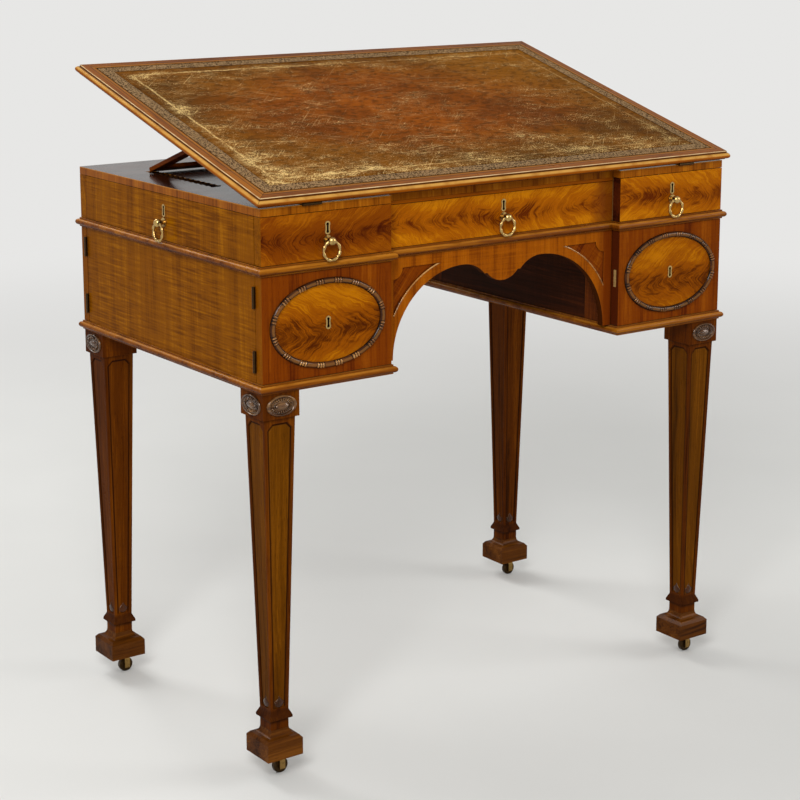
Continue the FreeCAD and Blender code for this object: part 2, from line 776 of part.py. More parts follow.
# Brass: butt hinges, ring handles and keyhole plates
def butt_hinge(name):
    """A hinge about Z from 0 up, leaves towards +X: the pinned one lies at +Y, the other at -Y."""
    radius, length, third = size["hinge_radius"], size["hinge_length"], size["hinge_length"] / 3
    thick, gap, leaf = size["leaf_thickness"], size["leaf_gap"] / 2, size["hinge_leaf"]
    stand = radius + size["hinge_stand"]
    pinned_ys, plain_ys = (gap - thick, gap), (-gap, thick - gap)
    ends = [(0, third - clearance), (2 * third + clearance, length)]
    pinned = [box(name + "_pinned_leaf", (stand, leaf), pinned_ys, (as_dim(0), length)),
              rod(name + "_pin", (0, 0, 0), size["hinge_pin"], length)]
    for index, (low, high) in enumerate(ends):
        pinned.append(rod("%s_knuckle%d" % (name, index), (0, 0, low), radius, high - low))
        pinned.append(box("%s_tab%d" % (name, index), (as_dim(0), stand), pinned_ys, (as_dim(low), high)))
    middle = rod(name + "_middle", (0, 0, third), radius, third)
    plain = [box(name + "_plain_leaf", (stand, leaf), plain_ys, (as_dim(0), length)), middle,
             box(name + "_plain_tab", (as_dim(0), stand), plain_ys, (third, 2 * third))]
    bore = rod(name + "_bore", (0, 0, 0), size["hinge_pin"] + clearance, length)
    return fuse(name + "_pinned", pinned), cut(name + "_plain", fuse(name + "_plain_whole", plain), [bore])


def keyhole_plate():
    """Keyhole rim facing -Y, round at both ends, with its upper round at the origin."""
    rim, thick = size["escutcheon_rim"], size["escutcheon"]
    drop = size["keyhole_length"]
    solids = []
    for name, extra in (("keyhole_plate", rim), ("keyhole_hole", as_dim(0))):
        slot, radius = size["keyhole_slot"] + extra, size["keyhole_radius"] + extra
        upper = rod(name + "_upper", (0, -thick, 0), radius, thick, "Y")
        lower = rod(name + "_lower", (0, -thick, -drop), radius, thick, "Y")
        waist = box(name + "_waist", (-slot, slot), (-thick, as_dim(0)), (-drop, as_dim(0)))
        solids.append(fuse(name, [upper, waist, lower]))
    return cut("keyhole_master", solids[0], [solids[1]])


def handle_boss():
    """Knob with an eye for the ring; the eye's centre is at the origin and the wood at +Y."""
    stand, thick = size["ring_stand"], size["boss_plate"]
    half_bore = size["boss_radius"]
    sagitta = half_bore * half_bore / (2 * size["ring_radius"])
    knob = ball("boss_knob", (0, 0, 0), size["boss_radius"])
    stem = rod("boss_stem", (0, 0, 0), size["boss_stem"], stand, "Y")
    disc = rod("boss_disc", (0, stand - thick, 0), size["boss_plate_radius"], thick, "Y")
    eye = rod("boss_eye", (-half_bore, 0, 0), size["ring_bar"] + sagitta + 2 * clearance, 2 * half_bore, "X")
    return cut("boss_master", fuse("boss_whole", [knob, stem, disc]), [eye])


def handle_ring():
    """Ring that hangs from its eye at the origin."""
    ring = add("Part::Torus", "ring_master")
    bind(ring, "Radius1", size["ring_radius"])
    bind(ring, "Radius2", size["ring_bar"])
    return place(ring, (0, 0, -size["ring_radius"]), ON_FRONT)


hinge_pinned, hinge_plain = butt_hinge("hinge")
plate, boss, ring = keyhole_plate(), handle_boss(), handle_ring()
handle_z = frieze_bottom + size["ring_height"]
keyhole_z = handle_z + size["keyhole_rise"] + size["keyhole_length"] / 2


def handle_set(name, spot, turn):
    """Keyhole plate, boss, lock and ring on a drawer front; spot is on the face, at handle height."""
    x, y, z = spot
    rotation = Rotation(Vector(0, 0, 1), turn)
    out = [round(value) for value in rotation.multVec(Vector(0, -1, 0))[:2]]
    stand = size["ring_stand"]
    eye = (x + out[0] * stand, y + out[1] * stand, z)
    back = size["drawer_front"]
    lock_half, lock_rise = size["lock_width"] / 2, size["lock_height"] / 2
    case = box(name + "_lock_case", square(lock_half), (as_dim(0), size["lock_thickness"]),
               (-lock_rise, lock_rise))
    lock = group(name + "_lock", [case], (x - out[0] * back, y - out[1] * back, keyhole_z - lock_rise / 2),
                 rotation)
    fittings = [group(name + "_plate", [plate], (x, y, keyhole_z), rotation),
                group(name + "_boss", [boss], eye, rotation), lock]
    node(name + "_fittings", group(name + "_fittings_all", fittings))
    node(name + "_ring", group(name + "_ring_hung", [ring], eye, rotation))


# Drawers: each has a front board and a box of two sides, a back and a bottom
gap = size["drawer_gap"]
front_zs = (frieze_bottom + gap, frieze_top - gap)
box_zs = (frieze_bottom + size["lift_clearance"], frieze_top - size["drawer_headroom"])


def drawer_box(name, wide, deep, along):
    """Four boards open on top. The sides run along Y or X from the front; deep runs away from it."""
    wall, floor_top = size["drawer_side"], box_zs[0] + size["drawer_bottom"]
    boards = [("side_a", (wide[0], wide[0] + wall), deep), ("side_b", (wide[1] - wall, wide[1]), deep)]
    inward = (wide[0] + wall, wide[1] - wall)
    far = deep[1] if deep[2] > 0 else deep[0]
    back = (far - wall, far) if deep[2] > 0 else (far, far + wall)
    bottom = (deep[0], back[0]) if deep[2] > 0 else (back[1], deep[1])
    boards = [(mark, span, run[:2], box_zs) for mark, span, run in boards]
    boards.append(("back", inward, back, box_zs))
    boards.append(("bottom", inward, bottom, (box_zs[0], floor_top)))
    parts = []
    for mark, across, run, zs in boards:
        xs, ys = (across, run) if along == "Y" else (run, across)
        parts.append(box("%s_%s" % (name, mark), xs, ys, zs))
    node(name + "_box", group(name + "_box_all", parts))


centre_half = inner_x - gap
centre_ys = (carcase_front, carcase_front + size["drawer_front"])
rail_bottom = frieze_top - size["centre_rail"]
node("centre_rail", box("centre_rail_board", square(inner_x), centre_ys, (rail_bottom, frieze_top)))
node("drawer_centre_front", box("centre_board", square(centre_half), centre_ys,
                                (front_zs[0], rail_bottom - gap)))
drawer_box("drawer_centre", square(centre_half - gap),
           (centre_ys[1], carcase_rear - size["arch_board"] - size["centre_drawer_room"], 1), "Y")
handle_set("drawer_centre", (as_dim(0), carcase_front, handle_z), 0)
corner_box_xs = (divider_xs[1] + gap, post_xs[0] - gap)
side_box_xs = (divider_xs[1] + gap, half_width - size["drawer_front"])
side_half = size["side_drawer_width"] / 2
for hand, side in (("left", -1), ("right", 1)):
    corner = "drawer_front_" + hand
    corner_back = front + size["drawer_front"]
    corner_board = box(corner + "_board", mirrored(pedestal_xs, side), (front, corner_back), front_zs)
    node(corner + "_front", corner_board)
    drawer_box(corner, mirrored(corner_box_xs, side),
               (corner_back, guide_front_y - size["corner_drawer_room"], 1), "Y")
    handle_set(corner, (side * (inner_x + half_pedestal), front, handle_z), 0)
    flank = "drawer_side_" + hand
    board_xs = (half_width - size["drawer_front"], half_width)
    node(flank + "_front", box(flank + "_board", mirrored(board_xs, side),
                               (carcase_front + gap, carcase_rear - gap), front_zs))
    drawer_box(flank, (middle_y - side_half, middle_y + side_half),
               mirrored(side_box_xs, side) + (-side,), "X")
    handle_set(flank, (side * half_width, middle_y, handle_z), 90 * side)


# Doors: overlay boards hung on their outer edges, each with a raised oval bead
door_zs = (cupboard_bottom + size["door_gap"], cupboard_top - size["door_gap"])
door_middle_z = (door_zs[0] + door_zs[1]) / 2
hinge_x = half_width + size["hinge_radius"] + size["hinge_stand"]
hinge_zs = (door_zs[0] + size["door_hinge_inset"],
            door_zs[1] - size["door_hinge_inset"] - size["hinge_length"])
bead_master = oval_bead("door_bead", size["oval_width"], size["oval_height"], size["oval_bead"])
bead_cutter = box("door_bead_below", (-size["oval_width"], size["oval_width"]),
                  (-size["oval_width"], size["oval_width"]), (-size["oval_width"], as_dim(0)))
raised_bead = cut("door_bead_raised", bead_master, [bead_cutter])
fixed_leaves = []
for end, hand, side in corners:
    name = "door_%s_%s" % (end, hand)
    facing = -1 if end == "front" else 1
    face_y = front if end == "front" else rear
    inside_y = face_y - facing * size["door_thickness"]
    ys = (face_y, inside_y) if end == "front" else (inside_y, face_y)
    middle_x = side * (inner_x + half_pedestal)
    half_turn = Rotation() if end == "front" else Rotation(Vector(0, 0, 1), 180)
    board = box(name + "_board", mirrored(pedestal_xs, side), ys, door_zs)
    bead = group(name + "_bead", [raised_bead], (middle_x, face_y, door_middle_z),
                 half_turn.multiply(ON_FRONT))
    node(name, group(name + "_all", [board, bead]))

    pivot_y = inside_y - facing * size["leaf_gap"] / 2
    hinge_turn = Rotation() if side < 0 else Rotation(Vector(0, 0, 1), 180)
    door_side, case_side = (hinge_plain, hinge_pinned) if facing * side > 0 else (hinge_pinned, hinge_plain)
    door_leaves = []
    for number, z in enumerate(hinge_zs):
        spot = (side * hinge_x, pivot_y, z)
        door_leaves.append(group("%s_leaf%d" % (name, number), [door_side], spot, hinge_turn))
        fixed_leaves.append(group("%s_fixed_leaf%d" % (name, number), [case_side], spot, hinge_turn))
    strike_y, strike_rise = (ys[0] + ys[1]) / 2, size["strike_height"] / 2
    strike = box(name + "_strike", mirrored((inner_x - size["escutcheon"], inner_x), side),
                 (strike_y - size["strike_width"] / 2, strike_y + size["strike_width"] / 2),
                 (door_middle_z - strike_rise, door_middle_z + strike_rise))
    lock_x, lock_z = size["lock_width"] / 2, size["lock_height"] / 2
    lock_ys = (inside_y, inside_y - facing * size["lock_thickness"])
    lock = box(name + "_lock", (middle_x - lock_x, middle_x + lock_x),
               lock_ys if facing < 0 else lock_ys[::-1], (door_middle_z - lock_z, door_middle_z + lock_z))
    keyhole = group(name + "_plate", [plate], (middle_x, face_y, door_middle_z + size["keyhole_length"] / 2),
                    half_turn)
    node(name + "_fittings", group(name + "_fittings_all", door_leaves + [strike, lock, keyhole]))


# Drawing slab, modelled lying flat about its hinge line and then raised to its tilt
slab_hinge_y = front - size["hinge_radius"] - size["hinge_stand"]
slab_hinge_z = top_z + size["leaf_gap"] / 2
underside = size["leaf_gap"] / 2
slab_top = underside + size["slab_thickness"]
slab_half = size["slab_width"] / 2
lip = front - size["slab_overhang"] - slab_hinge_y
slab_rear = lip + size["slab_depth"]
hinge_line = (0, slab_hinge_y, slab_hinge_z)
tilt = size["slab_tilt"]
leather_bottom = slab_top - size["leather_thickness"]
panel_bottom = leather_bottom - size["panel_thickness"]


def slab_inset(inset, zs, name):
    """A sheet inside the slab's outline, at the given inset all round."""
    return box(name, (-slab_half + inset, slab_half - inset), (lip + inset, slab_rear - inset), zs)


def slab_frame():
    """Four mitred members with a moulded edge, a rebate for the leather and room for the hinges."""
    member, border, inset = size["slab_member"], size["slab_border"], size["slab_edge_inset"]
    bead, step = size["slab_edge_bead"], size["slab_edge_step"]
    bead_top = slab_top - step
    points = [
        (inset, underside),
        (member, underside),
        (member, leather_bottom),
        (border, leather_bottom),
        (border, slab_top),
        (inset, slab_top),
        (inset, bead_top),
        (bead, bead_top, bead, 1),
        (0, bead_top - bead, bead, 1),
        (bead, bead_top - 2 * bead),
        (inset, bead_top - 2 * bead),
    ]
    section = sketch("slab_section", points, (0, lip, 0), SECTION_AT_FRONT)
    path = sketch("slab_path", [(-slab_half, lip), (slab_half, lip), (slab_half, slab_rear),
                                (-slab_half, slab_rear)])
    notch_reach = size["hinge_radius"] + 2 * size["hinge_stand"]
    notches = [box("slab_notch%d" % side, (x, x + size["hinge_length"]), (lip, notch_reach),
                   (as_dim(0), notch_reach))
               for side, x in slab_hinge_starts()]
    return cut("slab_frame_notched", run_round("slab_run", section, path, 4), notches)


def slab_hinge_starts():
    half = size["hinge_length"] / 2
    return [(side, side * size["slab_hinge_offset"] - half) for side in (-1, 1)]


TO_SLAB_HINGE = SECTION_AT_FRONT
node("slab_frame", tilted("slab_frame_raised", [slab_frame()], hinge_line, tilt))
panel = slab_inset(size["slab_member"], (panel_bottom, leather_bottom), "slab_panel_board")
node("slab_panel", tilted("slab_panel_raised", [panel], hinge_line, tilt))
leather = slab_inset(size["slab_border"], (leather_bottom, slab_top), "leather_sheet")
node("leather_top", tilted("leather_raised", [leather], hinge_line, tilt))
slab_leaves = []
for side, x in slab_hinge_starts():
    slab_leaves.append(group("slab_leaf%d" % side, [hinge_pinned], (x, 0, 0), TO_SLAB_HINGE))
    fixed_leaves.append(group("slab_fixed_leaf%d" % side, [hinge_plain], (x, slab_hinge_y, slab_hinge_z),
                              TO_SLAB_HINGE))
node("case_hinge_leaves", group("case_hinge_leaves_all", fixed_leaves))


# Prop frame: pivots under the slab, its foot stands over the ratchet
prop_half = size["prop_thickness"] / 2
pivot_y = size["prop_pivot_distance"]
pivot_z = underside + prop_half + size["prop_lift"]
pin_length = size["prop_bar"] / 2 + size["drawer_gap"]


def prop_brackets():
    """Blocks under the slab panel with the pins that the prop turns on."""
    brackets = []
    half = size["bracket_length"] / 2
    for side in (-1, 1):
        block = box("prop_bracket%d" % side, mirrored(bracket_xs, side), (pivot_y - half, pivot_y + half),
                    (pivot_z - prop_half, panel_bottom))
        pin_xs = mirrored((bracket_xs[0] - pin_length, bracket_xs[0]), side)
        pin = rod("prop_pin%d" % side, (pin_xs[0], pivot_y, pivot_z), size["prop_pin_radius"],
                  pin_length, "X")
        brackets.append(fuse("prop_bracket_pinned%d" % side, [block, pin]))
    return brackets


def prop_frame():
    """Two bars with a head rail and a foot rail, lying flat from the pivot towards +Y."""
    bar, length = size["prop_bar"], size["prop_length"]
    zs = square(prop_half)
    parts = []
    for side in (-1, 1):
        xs = mirrored(prop_xs, side)
        straight = box("prop_straight%d" % side, xs, (as_dim(0), length), zs)
        eye = rod("prop_eye%d" % side, (xs[0], 0, 0), prop_half, bar, "X")
        bore = rod("prop_bore%d" % side, (xs[0], 0, 0), size["prop_pin_radius"] + clearance, bar, "X")
        parts.append(cut("prop_bar%d" % side, fuse("prop_blank%d" % side, [straight, eye]), [bore]))
    rail_xs = square(prop_xs[0])
    parts.append(box("prop_head_rail", rail_xs, (bar, 2 * bar), zs))
    parts.append(box("prop_foot_rail", rail_xs, (length - bar, length), zs))
    return parts


prop_y = slab_hinge_y + pivot_y * cosine(tilt) - pivot_z * sine(tilt)
prop_z = slab_hinge_z + pivot_y * sine(tilt) + pivot_z * cosine(tilt)
foot_drop = prop_z - top_z - size["ratchet_proud"] - size["prop_foot_clearance"]
foot_reach = square_root(size["prop_length"] * size["prop_length"] + prop_half * prop_half)
prop_slope = arc_sine(foot_drop / foot_reach) - arc_tangent(prop_half / size["prop_length"])
node("prop_frame", tilted("prop_frame_raised", prop_frame(), (0, prop_y, prop_z), -prop_slope))
node("slab_fittings", tilted("slab_fittings_raised", slab_leaves + prop_brackets(), hinge_line, tilt))


doc.recompute()
failed = [item.Name for item in doc.Objects if {"Invalid", "Error"} & set(item.State)]
bad = [item.Label for item in nodes if item.Shape.isNull() or not item.Shape.isValid()]
if failed or bad:
    raise RuntimeError("failed features %s, bad sub-parts %s" % (failed, bad))
os.makedirs("parts", exist_ok=True)
for item in nodes:
    item.Shape.exportStep(os.path.join("parts", item.Label + ".step"))
print("prop slope %.3f, prop ratio %.5f" % (prop_slope.value, -(tilt.value + prop_slope.value) / tilt.value))
print("%d sub-parts, %d solids" % (len(nodes), sum(len(item.Shape.Solids) for item in nodes)))
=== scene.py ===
"""Dresses the artist's table: figured mahogany, carved ovals, worn tooled leather and old brass."""

import logging
import math
from collections.abc import Callable, Iterable, Iterator
from contextlib import contextmanager
from dataclasses import dataclass
from enum import Enum
from typing import Any

import bmesh
import bpy
from mathutils import Matrix, Vector


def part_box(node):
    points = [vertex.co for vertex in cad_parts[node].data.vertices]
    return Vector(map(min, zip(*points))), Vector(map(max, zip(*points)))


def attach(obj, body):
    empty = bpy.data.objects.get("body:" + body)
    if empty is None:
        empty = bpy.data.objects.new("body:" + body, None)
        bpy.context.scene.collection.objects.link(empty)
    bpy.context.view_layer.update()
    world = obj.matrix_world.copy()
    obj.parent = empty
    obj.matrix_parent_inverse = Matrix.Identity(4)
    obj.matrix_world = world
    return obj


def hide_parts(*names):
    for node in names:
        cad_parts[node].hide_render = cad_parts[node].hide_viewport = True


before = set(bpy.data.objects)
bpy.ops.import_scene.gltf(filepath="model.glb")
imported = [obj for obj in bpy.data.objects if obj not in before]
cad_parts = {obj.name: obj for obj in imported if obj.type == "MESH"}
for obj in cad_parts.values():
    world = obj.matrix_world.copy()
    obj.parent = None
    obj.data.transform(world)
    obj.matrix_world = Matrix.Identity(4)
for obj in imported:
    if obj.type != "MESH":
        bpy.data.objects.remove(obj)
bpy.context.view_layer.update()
log = logging.getLogger("artist_table")

Colour = tuple[float, float, float, float]
Socket = bpy.types.NodeSocket

MM = 0.001
SLAB_TILT = math.radians(15.6)
SLAB_HINGE = Vector((0.0, -0.2588, 0.8176))
CORNERS = tuple((end, side) for end in ("front", "rear") for side in ("left", "right"))

# A face looks along an axis where its normal has more than this along it
SQUARE_ON = 0.6

SMOOTH_ANGLE = math.radians(38)
EASED_ANGLE = math.radians(40)
CRISP_ANGLE = math.radians(32)
WELD_DISTANCE = 0.01 * MM


class GrainAxis(Enum):
    """The direction that the wood's fibres run in, as the turn that brings it to the pattern's X."""

    X = (0.0, 0.0, 0.0)
    Y = (0.0, 0.0, -math.pi / 2)
    Z = (0.0, math.pi / 2, 0.0)


class EdgeCare(Enum):
    """How the edges of a turned, sawn or moulded part were finished."""

    SAWN = "left as cut"
    EASED = "rounded over with paper"
    MOULDED = "planed to a smooth profile"


# Node building


def tint(red: int, green: int, blue: int) -> Colour:
    """Gives a colour written as on screen in the linear values that nodes take.

    Args:
        red, green, blue: The channels from 0 to 255.

    Returns:
        The linear colour, opaque.
    """

    def linear(channel: int) -> float:
        """Takes one channel to linear light."""
        part = channel / 255
        return part / 12.92 if part <= 0.04045 else ((part + 0.055) / 1.055) ** 2.4

    return linear(red), linear(green), linear(blue), 1.0


class NodeBench:
    """A node tree with short calls for the nodes that the finishes use."""

    def __init__(self, tree: bpy.types.NodeTree) -> None:
        """Takes the tree to build in."""
        self.tree = tree

    def add(self, kind: str, inputs: dict[str | int, Any] | None = None, **settings: Any) -> bpy.types.Node:
        """Adds a node.

        Args:
            kind: The node's type name.
            inputs: Values or sockets for its inputs, by name or index.
            settings: The node's own settings.

        Returns:
            The node.
        """
        node = self.tree.nodes.new(kind)
        for key, value in settings.items():
            setattr(node, key, value)
        for key, value in (inputs or {}).items():
            if isinstance(value, Socket):
                self.tree.links.new(value, node.inputs[key])
            else:
                node.inputs[key].default_value = value
        return node

    def calc(self, operation: str, first: Any, second: Any = 0.0) -> Socket:
        """Gives the result of a Math node on two values or sockets."""
        return self.add("ShaderNodeMath", {0: first, 1: second}, operation=operation).outputs[0]

    def total(self, *terms: Any) -> Socket:
        """Adds several values or sockets up.

        Args:
            terms: The values or sockets.

        Returns:
            Their sum.
        """
        result = terms[0]
        for term in terms[1:]:
            result = self.calc("ADD", result, term)
        return result

    def times(self, *factors: Any) -> Socket:
        """Multiplies several values or sockets.

        Args:
            factors: The values or sockets.

        Returns:
            Their product.
        """
        result = factors[0]
        for factor in factors[1:]:
            result = self.calc("MULTIPLY", result, factor)
        return result

    def gap(self, first: Any, second: Any) -> Socket:
        """Gives how far apart two values are."""
        return self.calc("ABSOLUTE", self.calc("SUBTRACT", first, second))

    def within(self, value: Any, low: float, high: float) -> Socket:
        """Gives how far a value lies inside two ends."""
        return self.calc("MINIMUM", self.calc("SUBTRACT", value, low), self.calc("SUBTRACT", high, value))

    def weigh(self, value: Any, factor: float, middle: float = 0.5) -> Socket:
        """Gives a pattern's swing about its middle, times a factor."""
        return self.calc("MULTIPLY", self.calc("SUBTRACT", value, middle), factor)

    def ease(self, value: Any, low: float, high: float, start: float = 0.0, end: float = 1.0) -> Socket:
        """Takes a value smoothly from start to end while it goes from low to high.

        Args:
            value: The value or socket.
            low, high: The range that it is read over.
            start, end: What it becomes at those ends.

        Returns:
            The eased value.
        """
        wanted = {"Value": value, "From Min": low, "From Max": high, "To Min": start, "To Max": end}
        return self.add("ShaderNodeMapRange", wanted, interpolation_type="SMOOTHSTEP").outputs["Result"]

    def mix(self, factor: Any, first: Any, second: Any, mode: str = "MIX") -> Socket:
        """Mixes two colours.

        Args:
            factor: How much of the second there is.
            first, second: The colours or sockets.
            mode: The way that they mix.

        Returns:
            The mixed colour.
        """
        wanted = {0: factor, 6: first, 7: second}
        return self.add("ShaderNodeMix", wanted, data_type="RGBA", blend_type=mode).outputs[2]

    def split(self, vector: Socket) -> tuple[Socket, Socket, Socket]:
        """Gives a vector's three parts."""
        node = self.add("ShaderNodeSeparateXYZ", {0: vector})
        return node.outputs[0], node.outputs[1], node.outputs[2]

    def vector(self, x: Any, y: Any, z: Any = 0.0) -> Socket:
        """Puts three parts together as a vector."""
        return self.add("ShaderNodeCombineXYZ", {0: x, 1: y, 2: z}).outputs[0]

    def stretch(self, vector: Socket, x: float, y: float, z: float) -> Socket:
        """Scales a vector by its three parts."""
        node = self.add("ShaderNodeVectorMath", {0: vector, 1: (x, y, z)}, operation="MULTIPLY")
        return node.outputs[0]

    def noise(
        self,
        vector: Socket,
        scale: float = 1.0,
        detail: float = 2.0,
        rough: float = 0.5,
        twist: float = 0.0,
    ) -> Socket:
        """Gives a noise pattern from 0 to 1.

        Args:
            vector: Where it is read.
            scale: How fine it is.
            detail: How many finer layers it has.
            rough: How strong they are.
            twist: How far the pattern is swirled.

        Returns:
            The pattern's value.
        """
        wanted = {"Vector": vector, "Scale": scale, "Detail": detail}
        wanted |= {"Roughness": rough, "Distortion": twist}
        return self.add("ShaderNodeTexNoise", wanted).outputs[0]

    def stretched(
        self,
        vector: Socket,
        scales: tuple[float, float, float],
        detail: float = 2.0,
        rough: float = 0.5,
        twist: float = 0.0,
    ) -> Socket:
        """Gives a noise pattern from 0 to 1 that is stretched along its axes.

        Args:
            vector: Where it is read.
            scales: How fine it is along each axis.
            detail: How many finer layers it has.
            rough: How strong they are.
            twist: How far the pattern is swirled.

        Returns:
            The pattern's value.
        """
        return self.noise(self.stretch(vector, *scales), 1.0, detail, rough, twist)

    def group(self, tree: bpy.types.NodeTree, inputs: dict[str | int, Any]) -> bpy.types.NodeOutputs:
        """Places a shared effect and gives its outputs."""
        return self.add("ShaderNodeGroup", inputs, node_tree=tree).outputs


class GroupBench(NodeBench):
    """A shared effect: a node group with named inputs and outputs."""

    def __init__(self, name: str, inputs: dict[str, Any], outputs: dict[str, str]) -> None:
        """Makes the group's sockets.

        Args:
            name: The group's name.
            inputs: Each input's name and its first value; a vector's is three numbers.
            outputs: Each output's name and its kind, Color or Float.
        """
        super().__init__(bpy.data.node_groups.new(name, "ShaderNodeTree"))
        kinds = {float: "Float", tuple: "Vector"}
        for key, value in inputs.items():
            kind = "Color" if isinstance(value, tuple) and len(value) == 4 else kinds[type(value)]
            socket = self.tree.interface.new_socket(key, in_out="INPUT", socket_type=f"NodeSocket{kind}")
            socket.default_value = value
        for key, kind in outputs.items():
            self.tree.interface.new_socket(key, in_out="OUTPUT", socket_type=f"NodeSocket{kind}")
        self.inputs = self.add("NodeGroupInput").outputs
        self.result = self.add("NodeGroupOutput")

    def give(self, key: str, socket: Socket) -> None:
        """Leads a socket to one of the group's outputs."""
        self.tree.links.new(socket, self.result.inputs[key])

    def three_tones(self, tone: Socket, low: float, middle: float, high: float) -> Socket:
        """Goes from the group's Dark to its Mid and Light colours.

        Args:
            tone: The pattern's value.
            low, middle, high: The values at which each colour is full.

        Returns:
            The colour.
        """
        lower = self.mix(self.ease(tone, low, middle), self.inputs["Dark"], self.inputs["Mid"])
        return self.mix(self.ease(tone, middle, high), lower, self.inputs["Light"])


SURROUND: Colour = (1.0, 0.995, 0.98, 1.0)
SURROUND_LEVEL = 0.80
GREY: Colour = (0.5, 0.5, 0.5, 1.0)
TONES: dict[str, Any] = {"Dark": GREY, "Mid": GREY, "Light": GREY}


def make_straight_grain() -> bpy.types.NodeTree:
    """Makes wood with long fibres along X: broad bands, fine streaks, open pores and a cross ripple.

    Returns:
        The group, with outputs Color, Height and Sheen.
    """
    bench = GroupBench(
        "StraightGrain",
        {"Vector": (0.0, 0.0, 0.0), **TONES, "Ripple": 0.0, "Pores": 0.5, "Bands": 1.1},
        {"Color": "Color", "Height": "Float", "Sheen": "Float"},
    )
    spot = bench.inputs["Vector"]
    along, across, deep = bench.split(spot)
    drift = bench.weigh(bench.stretched(spot, (2.2, 9.0, 9.0)), 0.030)
    lane, depth = bench.calc("ADD", across, drift), bench.calc("ADD", deep, drift)
    spot_on_lane = bench.vector(along, lane, depth)
    broad = bench.stretched(spot_on_lane, (1.2, 42.0, 42.0), detail=4.0, rough=0.6)
    streak = bench.stretched(spot_on_lane, (9.0, 340.0, 340.0), detail=3.0, rough=0.6)
    pore = bench.stretched(spot_on_lane, (75.0, 1300.0, 1300.0), detail=1.0)
    wave = bench.weigh(bench.stretched(spot_on_lane, (360.0, 17.0, 17.0), detail=1.0), 2.0)
    patch = bench.ease(bench.stretched(spot, (6.0, 9.0, 9.0), detail=1.0), 0.35, 0.62, 0.35, 1.0)
    ripple = bench.times(wave, patch, bench.inputs["Ripple"])
    lines = bench.calc("ADD", bench.weigh(broad, 1.0), bench.weigh(streak, 0.545))
    tone = bench.total(bench.times(lines, bench.inputs["Bands"]), ripple, 0.5)
    pores = bench.times(bench.ease(pore, 0.60, 0.72), bench.inputs["Pores"])
    colour = bench.three_tones(tone, 0.28, 0.5, 0.76)
    bench.give("Color", bench.mix(pores, colour, bench.inputs["Dark"]))
    bench.give("Height", bench.calc("SUBTRACT", streak, pores))
    bench.give("Sheen", bench.total(bench.weigh(broad, 0.25), bench.weigh(pore, 0.2), 0.5))
    return bench.tree


def make_flame_figure() -> bpy.types.NodeTree:
    """Makes the flame figure of wood cut where a branch forks: feathers that sweep from a dark spine.

    Returns:
        The group, with outputs Color, Height and Sheen.
    """
    bench = GroupBench(
        "FlameFigure",
        {"Vector": (0.0, 0.0, 0.0), **TONES, "Lean": 1.0, "Spread": 0.03, "Seed": 0.0},
        {"Color": "Color", "Height": "Float", "Sheen": "Float"},
    )
    side, _, up = bench.split(bench.inputs["Vector"])
    seed = bench.inputs["Seed"]
    spine = bench.weigh(bench.stretched(bench.vector(side, seed), (10.0, 1.0, 1.0), detail=3.0), 0.045)
    rise = bench.calc("SUBTRACT", up, spine)
    away = bench.calc("SQRT", bench.calc("ADD", bench.times(rise, rise), (2 * MM) ** 2))
    flat = bench.vector(side, up, seed)
    warp = bench.weigh(bench.stretched(flat, (13.0, 21.0, 1.0), detail=4.0, rough=0.6), 0.060)
    sweep = bench.total(side, bench.times(away, bench.inputs["Lean"]), warp)
    swept = bench.vector(sweep, away, seed)
    plume = bench.stretched(flat, (15.0, 30.0, 1.0), detail=4.0, rough=0.6, twist=0.6)
    feather = bench.stretched(swept, (190.0, 14.0, 1.0), detail=4.0, rough=0.66)
    hair = bench.stretched(swept, (760.0, 40.0, 1.0), detail=2.0)
    heart = bench.ease(bench.calc("DIVIDE", away, bench.inputs["Spread"]), 0.0, 1.0)
    tone = bench.total(
        bench.weigh(plume, 0.78), bench.weigh(feather, 0.74), bench.weigh(hair, 0.52),
        bench.weigh(heart, 0.34, 0.55), 0.5,
    )
    colour = bench.three_tones(tone, 0.16, 0.5, 0.86)
    spot = bench.stretched(swept, (55.0, 120.0, 1.0), detail=2.0)
    red = bench.times(bench.ease(spot, 0.56, 0.72, 0.0, 0.7), bench.ease(heart, 0.25, 0.9, 1.0, 0.0))
    bench.give("Color", bench.mix(red, colour, bench.inputs["Dark"]))
    bench.give("Height", hair)
    bench.give("Sheen", bench.total(bench.weigh(feather, 0.4), bench.weigh(plume, 0.2), 0.5))
    return bench.tree


def make_age_and_shade() -> bpy.types.NodeTree:
    """Makes the marks of age and painted shade: grime and painted shade that gather in corners, and smears
    that dull the polish.

    Returns:
        The group, with outputs GrimeAndShade and Smear.
    """
    inputs = {"Vector": (0.0, 0.0, 0.0), "Reach": 6 * MM}
    bench = GroupBench("Age", inputs, {"GrimeAndShade": "Float", "Smear": "Float"})
    # Painted shade: ambient occlusion darkens corners and crevices, together with real grime there.
    corner = bench.add("ShaderNodeAmbientOcclusion", {"Distance": bench.inputs["Reach"]}, samples=6)
    closed = bench.calc("SUBTRACT", 1.0, corner.outputs["AO"])
    cloud = bench.noise(bench.inputs["Vector"], 60.0, 3.0)
    bench.give("GrimeAndShade", bench.times(bench.ease(closed, 0.22, 0.85), bench.ease(cloud, 0.2, 0.7, 0.55, 1.0)))
    bench.give("Smear", bench.noise(bench.inputs["Vector"], 22.0, 5.0, 0.6))
    return bench.tree


class Effects:
    """The shared effects, each made once."""

    def __init__(self) -> None:
        """Makes the groups."""
        self.straight = make_straight_grain()
        self.flame = make_flame_figure()
        self.age = make_age_and_shade()


EFFECTS = Effects()


@dataclass(frozen=True)
class Tones:
    """The three colours of a wood, as it looks under polish."""

    dark: Colour
    mid: Colour
    light: Colour

    def inputs(self) -> dict[str, Colour]:
        """Gives the colours by their input names."""
        return {"Dark": self.dark, "Mid": self.mid, "Light": self.light}


